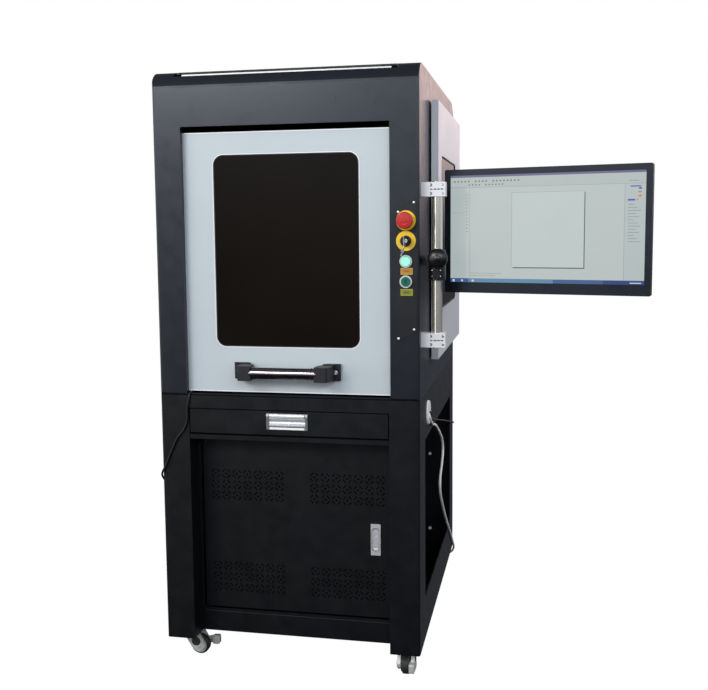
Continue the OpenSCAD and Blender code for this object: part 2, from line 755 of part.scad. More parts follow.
// ---- drawer ----
tray_half = post_inner - slide_width - slide_gap - 3;
tray_base = z_drawer_base + 2;
pull_z = z_drawer_base + drawer_height / 2 + 4;
flap_half = pull_width / 2 - pull_rim - 0.5;
flap_top = pull_z + pull_height / 2 - pull_rim - 1.2;
flap_face = front + 0.5;
flap_base = pull_z - pull_height / 2 + pull_rim;
flap_axis_z = flap_top - flap_thickness / 2;
flap_axis_y = flap_face + flap_thickness / 2;

module drawer_tray() color([0.10, 0.10, 0.11]) difference() {
    union() {
        difference() {
            box(-post_inner + drawer_gap, post_inner - drawer_gap, front, front + drawer_front_depth,
                z_drawer_base + drawer_gap, z_drawer_top - drawer_gap);
            box(-post_inner + drawer_gap + sheet, post_inner - drawer_gap - sheet, front + sheet,
                front + drawer_front_depth - sheet, z_drawer_base + drawer_gap + sheet,
                z_drawer_top - drawer_gap - sheet);
        }
        difference() {
            box(-tray_half, tray_half, front + drawer_front_depth - eps, front + drawer_front_depth + tray_depth,
                tray_base, tray_base + tray_wall);
            box(-tray_half + sheet, tray_half - sheet, front + drawer_front_depth,
                front + drawer_front_depth + tray_depth - sheet, tray_base + sheet, tray_base + tray_wall + 1);
        }
    }
    box(-pull_width / 2 + pull_rim - 1.5, pull_width / 2 - pull_rim + 1.5, front - 1, front + pull_cup + 0.5,
        pull_z - pull_height / 2 + pull_rim - 1.5, pull_z + pull_height / 2 - pull_rim + 1.5);
}

module pull_frame() color([0.80, 0.81, 0.83]) difference() {
    union() {
        box(-pull_width / 2, pull_width / 2, front - pull_frame_thickness, front,
            pull_z - pull_height / 2, pull_z + pull_height / 2);
        box(-pull_width / 2 + pull_rim - 1.2, pull_width / 2 - pull_rim + 1.2, front - eps, front + pull_cup,
            pull_z - pull_height / 2 + pull_rim - 1.2, pull_z + pull_height / 2 - pull_rim + 1.2);
    }
    box(-pull_width / 2 + pull_rim, pull_width / 2 - pull_rim, front - pull_frame_thickness - 1,
        front + pull_cup - 1.2, pull_z - pull_height / 2 + pull_rim, pull_z + pull_height / 2 - pull_rim);
    translate([0, flap_axis_y, flap_axis_z]) rotate([0, 90, 0])
        cylinder(d = flap_pin + 2 * pin_clearance, h = pull_width - 2 * pull_rim + 2.4, center = true, $fn = 24);
}

module pull_flap() color([0.84, 0.85, 0.87]) {
    translate([0, flap_axis_y, flap_axis_z]) rotate([0, 90, 0])
        cylinder(d = flap_pin, h = pull_width - 2 * pull_rim + 2, center = true, $fn = 24);
    along_x(2 * flap_half) polygon([[flap_face, flap_top], [flap_face + flap_thickness, flap_top],
        [flap_face + flap_thickness, pull_z - 4], [flap_face + flap_thickness - 0.5, flap_base + 3],
        [front - pull_frame_thickness, flap_base + 0.5], [front - pull_frame_thickness, flap_base + 3],
        [flap_face, pull_z - 3]]);
}

module drawer_slides() color([0.62, 0.63, 0.65]) for (side = [0, 1]) mirror([side, 0, 0]) difference() {
    box(tray_half + slide_gap, tray_half + slide_gap + slide_width, recess_face + sheet,
        recess_face + sheet + tray_depth, z_shelf, tray_base + tray_wall);
    box(tray_half + slide_gap + 3, tray_half + slide_gap + slide_width + 1, recess_face, recess_face + tray_depth + 9,
        z_shelf + 3, tray_base + tray_wall - 3);
}

module keyboard() color([0.13, 0.13, 0.14]) {
    key_rows = 5;
    key_pitch = 19;
    top = tray_base + sheet + 14;
    box(-tray_half + 20, tray_half - 20, front + drawer_front_depth + 70, front + drawer_front_depth + 210,
        tray_base + sheet, top);
    for (row = [0:key_rows - 1]) box(-tray_half + 28, tray_half - 28,
        front + drawer_front_depth + 84 + row * key_pitch, front + drawer_front_depth + 84 + row * key_pitch + 16,
        top - eps, top + 5);
}

// ---- lower door ----
module vent_cell() {
    reach = vent_pitch * sqrt(2) / 4;
    rotate(45) square(vent_diamond / sqrt(2), center = true);
    for (quarter = [0:3]) rotate(45 + 90 * quarter) translate([reach, 0])
        square([vent_slot_width, vent_slot_length], center = true);
}

module vent_field() for (i = [0:vent_columns - 1], j = [0:vent_rows - 1])
    translate([(i - (vent_columns - 1) / 2) * vent_pitch, (j - (vent_rows - 1) / 2) * vent_pitch]) vent_cell();

lock_x = lower_door_half - lock_inset;
lock_z = z_base + lock_level;
paddle_half = lock_width / 2 - 5;
paddle_top = lock_z + lock_height / 2 - 12;
paddle_base = lock_z - lock_height / 2 + 10;

module lower_door_panel() color([0.08, 0.08, 0.09]) {
    along_y(lower_door_face, lower_door_face + lower_door_sheet) difference() {
        translate([0, (lower_door_base + lower_door_top) / 2])
            square([2 * lower_door_half, lower_door_top - lower_door_base], center = true);
        for (side = [-1, 1], level = [vent_upper, vent_lower])
            translate([side * vent_offset + vent_shift, z_base + level]) vent_field();
        translate([lock_x, lock_z]) square([lock_width - 4, lock_height - 8], center = true);
    }
    difference() {
        box(-lower_door_half, lower_door_half, lower_door_face + lower_door_sheet - eps,
            lower_door_face + lower_door_thickness, lower_door_base, lower_door_top);
        box(-lower_door_half + 16, lower_door_half - lower_door_sheet, lower_door_face,
            lower_door_face + lower_door_thickness + 1, lower_door_base + 12, lower_door_top - 12);
    }
    rod(lower_hinge_x, lower_hinge_y, door_hole_base - hinge_plate, lower_door_base + 1, lower_hinge_pin);
    rod(lower_hinge_x, lower_hinge_y, lower_door_top - 1, door_hole_top + hinge_plate, lower_hinge_pin);
}

module lock_plate() color([0.78, 0.79, 0.80]) difference() {
    union() {
        along_y(lower_door_face - 2, lower_door_face) translate([lock_x, lock_z])
            round_rect(lock_width, lock_height, 4);
        box(lock_x - lock_width / 2 + 2.5, lock_x + lock_width / 2 - 2.5, lower_door_face - eps,
            lower_door_face + 12, lock_z - lock_height / 2 + 5, lock_z + lock_height / 2 - 5);
    }
    box(lock_x - paddle_half - 0.6, lock_x + paddle_half + 0.6, lower_door_face - 3, lower_door_face + 8,
        paddle_base - 0.6, paddle_top + 1.8);
    translate([lock_x, lower_door_face + 2, paddle_top - 3]) rotate([0, 90, 0])
        cylinder(d = 3 + 2 * pin_clearance, h = 2 * paddle_half + 5, center = true, $fn = 24);
}

module lock_paddle() color([0.70, 0.71, 0.72]) {
    translate([lock_x, lower_door_face + 2, paddle_top - 3]) rotate([0, 90, 0])
        cylinder(d = 3, h = 2 * paddle_half + 4.4, center = true, $fn = 24);
    difference() {
        box(lock_x - paddle_half, lock_x + paddle_half, lower_door_face - 1, lower_door_face - 1 + paddle_thickness + 1,
            paddle_base, paddle_top);
        disc_y(lock_x, lock_z + 12, 9, lower_door_face - 2, lower_door_face + 0.5);
    }
}

// ---- controls ----
module plate_outline() translate([controls_x, 0]) polygon([
    [-plate_width / 2, reset_z - 146], [plate_width / 2, reset_z - 146 + plate_slant],
    [plate_width / 2, reset_z - 146 + plate_slant + plate_height], [-plate_width / 2, reset_z - 146 + plate_height]]);

module control_plate() color([0.05, 0.05, 0.05]) along_y(plate_face, front) difference() {
    plate_outline();
    for (level = [stop_z, key_z, start_z, reset_z]) translate([controls_x, level]) circle(d = shaft_diameter + 2, $fn = 32);
}

module legend_rings() color([0.95, 0.75, 0.05]) for (level = [stop_z, key_z])
    ring_y(controls_x, level, legend_diameter, shaft_diameter + 2, plate_face - legend_thickness, plate_face);

module button_bezels() color([0.75, 0.76, 0.78]) {
    for (level = [start_z, reset_z])
        ring_y(controls_x, level, bezel_diameter, cap_diameter + 1, plate_face - bezel_depth, plate_face);
    ring_y(controls_x, key_z, 24, shaft_diameter + 1, plate_face - legend_thickness - 8, plate_face - legend_thickness);
    ring_y(controls_x, stop_z, 30, shaft_diameter + 1, plate_face - legend_thickness - 8, plate_face - legend_thickness);
}

module push_button(level) {
    disc_y(controls_x, level, cap_diameter, plate_face - bezel_depth - 3, plate_face - button_travel - 0.5, 40);
    disc_y(controls_x, level, shaft_diameter, plate_face - button_travel - 1, plate_face + 1, 32);
}

module start_button() color([0.30, 0.85, 0.60]) push_button(start_z);
module reset_button() color([0.05, 0.35, 0.22]) push_button(reset_z);

module stop_head() color([0.80, 0.08, 0.07]) translate([controls_x, plate_face + 0.5, stop_z]) rotate([90, 0, 0]) {
    base = legend_thickness + 8 + stop_travel + 1.5;
    cylinder(d = shaft_diameter, h = base + 1, $fn = 32);
    translate([0, 0, base]) rotate_extrude($fn = 48) polygon(concat([[0, 0], [stop_diameter / 2 - 1, 0]],
        [for (step = [0:6]) [stop_diameter / 2 - 4 + 4 * cos(step * 15), 8 + 4 * sin(step * 15)]], [[0, 13.5]]));
}

module key() color([0.72, 0.73, 0.75]) {
    base = plate_face - legend_thickness - 8;
    disc_y(controls_x, key_z, shaft_diameter, base - 2, plate_face + 0.5, 32);
    box(controls_x - 1.2, controls_x + 1.2, base - 10, base - 2 + eps, key_z - 5, key_z + 5);
    along_y(base - 28, base - 9) translate([controls_x, key_z]) square([2.4, 24], center = true);
}

// ---- grommet, post and monitor ----
module grommet() color([0.92, 0.92, 0.92]) translate([half_width, front + grommet_front, z_seam - grommet_drop])
    rotate([0, 90, 0]) {
        translate([0, 0, -sheet - 5]) cylinder(d = grommet_hole, h = sheet + 5 + eps, $fn = 48);
        cylinder(d1 = grommet_diameter, d2 = grommet_diameter - 4, h = grommet_cap, $fn = 48);
    }

module post_bracket(level) difference() {
    box(half_width, post_x + 21, post_y - post_bracket_depth / 2, post_y + post_bracket_depth / 2,
        level - post_bracket_height / 2, level + post_bracket_height / 2);
    rod(post_x, post_y, level - post_bracket_height, level + post_bracket_height, post_diameter);
    box(half_width + 14, post_x + 22, post_y - post_bracket_depth / 2 - 1, post_y - post_bracket_depth / 2 + 2,
        level - 0.8, level + 0.8);
}

module post_brackets() color([0.85, 0.86, 0.87]) for (level = [post_low, post_high]) post_bracket(level);

module monitor_post() color([0.78, 0.78, 0.80]) difference() {
    rod(post_x, post_y, post_low - post_bracket_height / 2 - 2, post_high + post_bracket_height / 2 + 2, post_diameter, 48);
    rod(post_x, post_y, post_low - post_bracket_height, post_high + post_bracket_height, post_diameter - 5, 32);
}

post_bore = post_diameter + 2 * pin_clearance;

module arm_collar() color([0.05, 0.05, 0.05]) {
    difference() {
        union() {
            rod(post_x, post_y, collar_z, collar_z + collar_height, collar_diameter, 40);
            box(post_x - 8, post_x + 8, post_y - collar_diameter / 2 - 8, post_y, collar_z + 6, collar_z + collar_height - 6);
        }
        rod(post_x, post_y, collar_z - 1, collar_z + collar_height + 1, post_bore, 48);
        box(post_x - 1, post_x + 1, post_y - collar_diameter, post_y, collar_z - 1, collar_z + collar_height + 1);
    }
}

module inner_arm() color([0.06, 0.06, 0.06]) difference() {
    union() {
        rod(post_x, post_y, arm_z, arm_z + 38, collar_diameter, 40);
        linear_extrude_at(arm_z, arm_thickness) bar_between([post_x, post_y], [bend_x, bend_y], inner_bar);
        rod(bend_x, bend_y, arm_z, arm_z + arm_thickness, inner_bar, 40);
        linear_extrude_at(arm_z, arm_thickness) bar_between([bend_x, bend_y], [elbow_x, elbow_y], inner_bar);
        rod(elbow_x, elbow_y, arm_z - elbow_drop, arm_z + arm_thickness, elbow_diameter, 40);
        rod(elbow_x, elbow_y, arm_z + arm_thickness - 1, outer_arm_z + arm_thickness, 14, 32);
    }
    rod(post_x, post_y, arm_z - 1, arm_z + 60, post_bore, 48);
}

module linear_extrude_at(level, height) translate([0, 0, level]) linear_extrude(height = height) children();

module bar_between(a, b, width) translate(a) rotate(atan2(b[1] - a[1], b[0] - a[0]))
    translate([0, -width / 2]) square([norm(b - a), width]);

module outer_arm() color([0.06, 0.06, 0.06]) difference() {
    union() {
        rod(elbow_x, elbow_y, outer_arm_z, outer_arm_z + arm_thickness, elbow_diameter, 40);
        linear_extrude_at(outer_arm_z, arm_thickness) bar_between([elbow_x, elbow_y], [head_x, head_y], outer_bar);
        rod(head_x, head_y, outer_arm_z, outer_arm_z + arm_thickness, elbow_diameter - 4, 40);
        rod(head_x, head_y, outer_arm_z + arm_thickness - 1, outer_arm_z + arm_thickness + 36, 12, 32);
    }
    rod(elbow_x, elbow_y, outer_arm_z - 1, outer_arm_z + arm_thickness + 1, 14 + 2 * pin_clearance, 32);
}

// Pieces of the monitor are drawn about the middle of its front face, looking along +Y
module monitor_place() translate([monitor_x, monitor_y, monitor_z]) rotate([0, 0, -monitor_turn]) children();
head_z = outer_arm_z + arm_thickness + touch;
head_local_z = head_z - monitor_z;
tilt_z = 12;
tilt_pin = 8;

module tilt_head() color([0.07, 0.07, 0.07]) {
    difference() {
        rod(head_x, head_y, head_z, head_z + 34, 28, 40);
        rod(head_x, head_y, head_z - 1, head_z + 37, 12 + 2 * pin_clearance, 32);
    }
    monitor_place() {
        difference() {
            box(-11, 11, tilt_axis_reach + 2, head_reach - 10, head_local_z, tilt_z + 8);
            box(-20, 20, tilt_axis_reach - 20, tilt_axis_reach + 9.5, tilt_z - 30, tilt_z + 20);
        }
        box(-7, 7, tilt_axis_reach, tilt_axis_reach + 12, tilt_z - 7, tilt_z + 7);
        translate([0, tilt_axis_reach, tilt_z]) rotate([0, 90, 0]) cylinder(d = tilt_pin, h = 44, center = true, $fn = 32);
    }
}

module monitor_housing() color([0.05, 0.05, 0.06]) monitor_place() {
    screen_width = monitor_width - 2 * screen_border;
    screen_height = monitor_height - screen_border - screen_chin;
    difference() {
        along_y(0, monitor_rim) round_rect(monitor_width, monitor_height, 4);
        translate([0, 0, (screen_chin - screen_border) / 2]) box(-screen_width / 2, screen_width / 2, -1, 4,
            -screen_height / 2, screen_height / 2);
    }
    difference() {
        along_y(monitor_rim - eps, monitor_rim + back_depth)
            round_rect(monitor_width - 120, monitor_height - 70, 20);
        along_y(monitor_rim + back_depth - 12, monitor_rim + back_depth + 1) round_rect(124, 124, 6);
    }
    along_y(monitor_rim + back_depth - 12 - eps, monitor_rim + back_depth - 6) round_rect(116, 116, 4);
    for (side = [-1, 1]) difference() {
        union() {
            box(side * 15 - 5, side * 15 + 5, monitor_rim + back_depth - 6 - eps, tilt_axis_reach, tilt_z - 9, tilt_z + 9);
            translate([side * 15, tilt_axis_reach, tilt_z]) rotate([0, 90, 0]) cylinder(d = 18, h = 10, center = true, $fn = 32);
        }
        translate([side * 15, tilt_axis_reach, tilt_z]) rotate([0, 90, 0])
            cylinder(d = tilt_pin + 2 * pin_clearance, h = 12, center = true, $fn = 32);
    }
}

module monitor_screen() color([0.75, 0.80, 0.80]) monitor_place() translate([0, 0, (screen_chin - screen_border) / 2])
    box(-monitor_width / 2 + screen_border + 0.3, monitor_width / 2 - screen_border - 0.3, 1.5, 4,
        -(monitor_height - screen_border - screen_chin) / 2 + 0.3, (monitor_height - screen_border - screen_chin) / 2 - 0.3);

// ---- inside ----
module worktable() color([0.70, 0.71, 0.72]) {
    difference() {
        box(-table_width / 2, table_width / 2, table_y - table_depth / 2, table_y + table_depth / 2,
            table_z, table_z + table_thickness);
        for (sx = [-1, 1], sy = [-1, 1]) rod(sx * table_hole_x / 2, table_y + sy * table_hole_y / 2,
            table_z - 1, table_z + table_thickness + 1, table_hole, 24);
    }
    for (sx = [-1, 1], sy = [-1, 1]) rod(sx * (table_width / 2 - 24), table_y + sy * (table_depth / 2 - 24),
        z_floor, table_z + eps, 24, 24);
}

module z_column() color([0.55, 0.56, 0.58]) difference() {
    box(-column_width / 2, column_width / 2, column_front, column_back, z_floor, column_top);
    box(-column_width / 2 + 12, column_width / 2 - 12, column_front - 1, column_back - 12, z_floor + 12, column_top - 12);
    rod(0, screw_y, z_floor - 1, column_top + 1, screw_diameter - 4 + 2 * pin_clearance, 32);
}

module lift_screw() color([0.80, 0.80, 0.82]) {
    rod(0, screw_y, z_floor + 1, column_top + 20, screw_diameter - 4, 32);
    rod(0, screw_y, z_floor + 12 + touch, column_top - 12 - touch, screw_diameter, 32);
    rod(0, screw_y, column_top + touch, column_top + 14, 60, 40);
}

module z_carriage() color([0.16, 0.16, 0.17]) difference() {
    union() {
        box(-column_width / 2 + 12.5, column_width / 2 - 12.5, column_front - 14, column_back - 12.5,
            carriage_z, carriage_z + 90);
        box(-45, 45, column_front - 130, column_front - 14 + eps, carriage_z + 10, carriage_z + 80);
    }
    rod(0, screw_y, carriage_z - 1, carriage_z + 91, screw_diameter + 2 * pin_clearance, 32);
}

module scan_head() color([0.20, 0.20, 0.21]) {
    box(-60, 60, column_front - 250, column_front - 130, carriage_z - 10, carriage_z + 95);
    rod(0, column_front - 195, carriage_z - 28, carriage_z - 10 + eps, 92, 40);
    rod(0, column_front - 195, carriage_z - 50, carriage_z - 28 + eps, 80, 40);
}

module laser_source() color([0.30, 0.31, 0.33])
    box(-0.36 * cabinet_width, 0.06 * cabinet_width, -laser_depth / 2, laser_depth / 2, z_base + sheet,
        z_base + sheet + laser_height);

module computer_case() color([0.14, 0.14, 0.15]) difference() {
    box(case_x - case_width / 2, case_x + case_width / 2, -case_depth / 2, case_depth / 2, z_base + sheet,
        z_base + sheet + case_height);
    for (row = [0:5]) box(case_x - case_width / 3, case_x + case_width / 3, -case_depth / 2 - 1, -case_depth / 2 + 1,
        z_base + case_height / 6 + row * 14, z_base + case_height / 6 + 6 + row * 14);
}

// ---- casters ----
module caster_plates() color([0.72, 0.73, 0.74]) for (side = [-1, 1], end = [-1, 1])
    translate([side * caster_x, end * caster_y, 0]) {
        translate([0, 0, z_base - plate_sheet / 2]) cube([top_plate, top_plate, plate_sheet], center = true);
        translate([0, 0, fork_top_z + touch]) cylinder(d = 36, h = race_height - touch + eps, $fn = 32);
        translate([0, 0, fork_top_z - fork_sheet - 1]) cylinder(d = 10, h = fork_sheet + 2, $fn = 24);
    }

// Cheek of the cast fork, seen from the side: round under the axle, with a window above it
module cheek_outline() difference() {
    hull() {
        translate([-18, fork_top_z - 9]) square([38, 9]);
        translate([caster_trail, axle_z]) circle(r = 14, $fn = 40);
        translate([caster_trail - 19, axle_z - 2]) square([38, 8]);
    }
    translate([caster_trail - 6, axle_z + 15]) circle(d = 17, $fn = 32);
}

module fork() color([0.74, 0.75, 0.76]) difference() {
    union() {
        translate([0, 0, fork_top_z - fork_sheet]) cylinder(d = 38, h = fork_sheet, $fn = 40);
        for (side = [0, 1]) mirror([0, side, 0]) {
            translate([0, fork_half + fork_cheek - 2, 0]) rotate([90, 0, 0])
                linear_extrude(height = fork_cheek - 2) cheek_outline();
            translate([0, fork_half + fork_cheek, 0]) rotate([90, 0, 0])
                linear_extrude(height = 2 + eps) offset(delta = -2) cheek_outline();
        }
        box(-18, 20, -fork_half - 2, fork_half + 2, fork_top_z - fork_sheet, fork_top_z);
        translate([caster_trail, 0, axle_z]) rotate([90, 0, 0])
            cylinder(d = axle_diameter, h = 2 * (fork_half + fork_cheek) + 6, center = true, $fn = 32);
    }
    translate([0, 0, fork_top_z - fork_sheet - 2]) cylinder(d = 10 + 2 * pin_clearance, h = fork_sheet + 4, $fn = 24);
}

module wheel() color([0.07, 0.07, 0.07]) translate([caster_trail, 0, axle_z]) rotate([90, 0, 0])
    rotate_extrude($fn = 48) polygon([[axle_diameter / 2 + pin_clearance, -wheel_width / 2],
        [wheel_diameter / 2 - 9, -wheel_width / 2], [wheel_diameter / 2 - 7, -wheel_width / 2 + 3],
        [wheel_diameter / 2 - 3, -wheel_width / 2 + 2], [wheel_diameter / 2, -wheel_width / 2 + 6],
        [wheel_diameter / 2, wheel_width / 2 - 6], [wheel_diameter / 2 - 3, wheel_width / 2 - 2],
        [wheel_diameter / 2 - 7, wheel_width / 2 - 3], [wheel_diameter / 2 - 9, wheel_width / 2],
        [axle_diameter / 2 + pin_clearance, wheel_width / 2]]);

module fork_front_left() caster_place(-1, -1, turn_front_left) fork();
module fork_front_right() caster_place(1, -1, turn_front_right) fork();
module fork_rear_left() caster_place(-1, 1, turn_rear_left) fork();
module fork_rear_right() caster_place(1, 1, turn_rear_right) fork();
module wheel_front_left() caster_place(-1, -1, turn_front_left) wheel();
module wheel_front_right() caster_place(1, -1, turn_front_right) wheel();
module wheel_rear_left() caster_place(-1, 1, turn_rear_left) wheel();
module wheel_rear_right() caster_place(1, 1, turn_rear_right) wheel();

// The brake lever turns about the axle beside one cheek, and its tab stands past the wheel
module pedal() color([0.72, 0.73, 0.74]) {
    inner = fork_half + fork_cheek + 0.4;
    translate([0, inner + 2, 0]) rotate([90, 0, 0]) linear_extrude(height = 2) difference() {
        hull() {
            translate([caster_trail, axle_z]) circle(r = 8, $fn = 32);
            translate([caster_trail + 42, axle_z]) circle(r = 5, $fn = 24);
            translate([caster_trail + 42, axle_z + 14]) circle(r = 5, $fn = 24);
        }
        translate([caster_trail, axle_z]) circle(d = axle_diameter + 2 * pin_clearance, $fn = 32);
    }
    translate([0, inner + eps, 0]) rotate([90, 0, 0]) linear_extrude(height = 11) hull() {
        translate([caster_trail + 31, axle_z - 2]) circle(r = 3, $fn = 20);
        translate([caster_trail + 42, axle_z]) circle(r = 5, $fn = 24);
        translate([caster_trail + 42, axle_z + 14]) circle(r = 5, $fn = 24);
        translate([caster_trail + 32, axle_z + 16]) circle(r = 3, $fn = 20);
    }
}

module pedal_front_left() caster_place(-1, -1, turn_front_left) pedal();
module pedal_front_right() caster_place(1, -1, turn_front_right) pedal();

// ---- cords ----
// Point on a smooth curve through the route's points
function curve_point(a, b, c, d, t) = 0.5 * (2 * b + (c - a) * t + (2 * a - 5 * b + 4 * c - d) * t * t
    + (3 * b - a - 3 * c + d) * t * t * t);
function smooth_route(route, steps) = let (last = len(route) - 1) concat(
    [for (i = [0:last - 1], k = [0:steps - 1]) curve_point(route[max(i - 1, 0)], route[i], route[i + 1],
        route[min(i + 2, last)], k / steps)], [route[last]]);
function unit(v) = v / norm(v);

module tube(route, diameter, steps = 3, sides = 8) {
    path = smooth_route(route, steps);
    last = len(path) - 1;
    ways = [for (i = [0:last]) unit(path[min(i + 1, last)] - path[max(i - 1, 0)])];
    start = unit(cross(ways[0], [0.1, 0.3, 1]));
    across = [for (i = 0, u = start; i <= last; i = i + 1,
        u = i > last ? u : unit(u - (u * ways[i]) * ways[i])) u];
    rings = [for (i = [0:last]) for (k = [0:sides - 1]) let (a = 360 * k / sides)
        path[i] + diameter / 2 * (cos(a) * across[i] + sin(a) * cross(ways[i], across[i]))];
    sides_faces = [for (i = [0:last - 1], k = [0:sides - 1]) let (n = (k + 1) % sides)
        each [[i * sides + k, (i + 1) * sides + n, i * sides + n], [i * sides + k, (i + 1) * sides + k, (i + 1) * sides + n]]];
    polyhedron(points = rings, faces = concat(sides_faces, [[for (k = [0:sides - 1]) k]],
        [[for (k = [sides - 1:-1:0]) last * sides + k]]));
}

module coil(centre, radius, band, height) translate([centre[0], centre[1], 0]) rotate_extrude($fn = 40)
    translate([radius - band / 2, 0]) square([band, height]);

module mains_cord() color([0.88, 0.88, 0.88]) {
    tube(mains_route, mains_diameter);
    coil(coil_centre, coil_radius, coil_band, 2 * mains_diameter);
    tube(tail_route, mains_diameter);
}

module mains_plug() color([0.90, 0.90, 0.90]) translate([plug_centre[0], plug_centre[1], 0]) {
    box(-20, 20, -14, 14, 0, 28);
    for (side = [-1, 1]) translate([-38, side * 7, 14]) rotate([0, 90, 0]) cylinder(d = 4.8, h = 19, $fn = 16);
}

module chamber_cord() color([0.05, 0.05, 0.05]) tube(chamber_route, chamber_diameter, 2);
module data_lead() color([0.05, 0.05, 0.05]) tube(data_route, data_diameter);

lower_shell();
lower_rear_panel();
upper_shell();
upper_rear_panel();
door_rails();
control_plate();
legend_rings();
button_bezels();
grommet();
post_brackets();
monitor_post();
computer_case();
laser_source();
worktable();
z_column();
drawer_slides();
caster_plates();
side_door_hinges();
door_skin();
door_window();
door_carrier();
handle_feet();
handle_tube();
side_door_panel();
side_door_window();
drawer_tray();
keyboard();
pull_frame();
pull_flap();
lower_door_panel();
lock_plate();
lock_paddle();
stop_head();
key();
start_button();
reset_button();
arm_collar();
inner_arm();
outer_arm();
tilt_head();
monitor_housing();
monitor_screen();
z_carriage();
scan_head();
lift_screw();
fork_front_left();
fork_front_right();
fork_rear_left();
fork_rear_right();
wheel_front_left();
wheel_front_right();
wheel_rear_left();
wheel_rear_right();
pedal_front_left();
pedal_front_right();
mains_cord();
mains_plug();
chamber_cord();
data_lead();
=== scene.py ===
"""Looks for the laser marking machine: cords, finishes, small parts, light and camera.

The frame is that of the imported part: +Z up, -Y towards the operator. Small parts are written in millimetres
and scaled to metres as they are made. The cords, the camera and the lamps are in metres.
"""

import json
import math

import bmesh
import bpy
from mathutils import Matrix, Vector


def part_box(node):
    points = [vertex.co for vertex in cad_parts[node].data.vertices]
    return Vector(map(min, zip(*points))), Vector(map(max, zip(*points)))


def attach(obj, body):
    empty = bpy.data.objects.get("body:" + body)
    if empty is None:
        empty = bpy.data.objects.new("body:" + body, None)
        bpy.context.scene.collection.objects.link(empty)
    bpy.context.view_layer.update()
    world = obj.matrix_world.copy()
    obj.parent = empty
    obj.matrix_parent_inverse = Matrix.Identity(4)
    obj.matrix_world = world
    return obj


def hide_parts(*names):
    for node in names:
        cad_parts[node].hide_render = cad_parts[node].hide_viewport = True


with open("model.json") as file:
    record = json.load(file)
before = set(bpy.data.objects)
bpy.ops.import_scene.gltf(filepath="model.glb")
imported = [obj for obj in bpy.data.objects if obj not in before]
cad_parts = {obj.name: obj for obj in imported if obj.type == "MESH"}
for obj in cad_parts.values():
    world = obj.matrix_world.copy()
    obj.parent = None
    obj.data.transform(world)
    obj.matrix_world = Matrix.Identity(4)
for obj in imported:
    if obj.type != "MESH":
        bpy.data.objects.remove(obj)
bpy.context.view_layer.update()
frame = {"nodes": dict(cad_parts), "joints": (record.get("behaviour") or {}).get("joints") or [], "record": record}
joints = {j["name"]: j for j in frame["joints"]}
MM = 0.001
X, Y, Z = Vector((1, 0, 0)), Vector((0, 1, 0)), Vector((0, 0, 1))
FRONT = (X, Z, -Y)  # across, up and out, for a face that looks at the operator

# Camera: the lens, the place and the three angles of the view
LENS = 47.68
SENSOR = 36.0
CAMERA_AT = (0.6173, -2.6208, 1.1215)
TURN_LEFT = 0.1962
TILT_DOWN = 0.103
ROLL = -0.0085
SHIFT = (-0.0051, -0.0267)

# Cords: the diameter of each
MAINS_DIAMETER = 7 * MM
CHAMBER_DIAMETER = 5 * MM
DATA_DIAMETER = 3.6 * MM


# ---- camera ----
def make_camera():
    data = bpy.data.cameras.new("camera")
    data.sensor_width = SENSOR
    data.lens = LENS
    data.shift_x, data.shift_y = SHIFT
    camera = bpy.data.objects.new("camera", data)
    bpy.context.collection.objects.link(camera)
    spin = Matrix.Rotation(TURN_LEFT, 4, "Z") @ Matrix.Rotation(math.pi / 2 - TILT_DOWN, 4, "X")
    camera.matrix_world = Matrix.Translation(CAMERA_AT) @ spin @ Matrix.Rotation(ROLL, 4, "Z")
    bpy.context.scene.camera = camera


make_camera()


# ---- materials ----
class Nodes:
    """A short way to build the node tree of a material or of the world."""

    def __init__(self, owner, out, place):
        owner.use_nodes = True
        self.tree = owner.node_tree
        self.tree.nodes.clear()
        self.out = self.add(out)
        self.place = self.add("ShaderNodeTexCoord").outputs[place]

    def add(self, kind, **settings):
        node = self.tree.nodes.new(kind)
        for key, value in settings.items():
            if key in node.inputs:
                node.inputs[key].default_value = value
            else:
                setattr(node, key, value)
        return node

    def link(self, a, b):
        self.tree.links.new(a, b)

    def noise(self, scale, detail=3.0, stretch=(1, 1, 1)):
        mapping = self.add("ShaderNodeMapping", Scale=stretch)
        self.link(self.place, mapping.inputs["Vector"])
        node = self.add("ShaderNodeTexNoise", Scale=scale, Detail=detail)
        self.link(mapping.outputs["Vector"], node.inputs["Vector"])
        return node.outputs["Fac"]

    def ramp(self, value, low, high, start=0.3, end=0.7, way="LINEAR"):
        """Numbers from low to high, as value goes from start to end."""
        node = self.add("ShaderNodeMapRange", interpolation_type=way)
        for socket, number in (("From Min", start), ("From Max", end), ("To Min", low), ("To Max", high)):
            node.inputs[socket].default_value = number
        self.link(value, node.inputs["Value"])
        return node.outputs["Result"]

    def mix(self, share, a, b):
        """A colour between a and b, each a colour or a socket."""
        node = self.add("ShaderNodeMix", data_type="RGBA")
        self.link(share, node.inputs["Factor"])
        for socket, value in (("A", a), ("B", b)):
            if isinstance(value, tuple):
                node.inputs[socket].default_value = (*value, 1)
            else:
                self.link(value, node.inputs[socket])
        return node.outputs["Result"]

    def math(self, operation, a, b):
        node = self.add("ShaderNodeMath", operation=operation)
        self.link(a, node.inputs[0])
        self.link(b, node.inputs[1])
        return node.outputs["Value"]

    def blend(self, share, a, b):
        """Mixes two shaders and gives the result to the output; share is a number or a socket."""
        node = self.add("ShaderNodeMixShader")
        if isinstance(share, float):
            node.inputs["Fac"].default_value = share
        else:
            self.link(share, node.inputs["Fac"])
        self.link(a, node.inputs[1])
        self.link(b, node.inputs[2])
        self.link(node.outputs["Shader"], self.out.inputs["Surface"])

    def bump(self, height, strength, distance):
        node = self.add("ShaderNodeBump", Strength=strength, Distance=distance)
        self.link(height, node.inputs["Height"])
        return node.outputs["Normal"]


def material_nodes(name):
    material = bpy.data.materials.new(name)
    return material, Nodes(material, "ShaderNodeOutputMaterial", "Object")


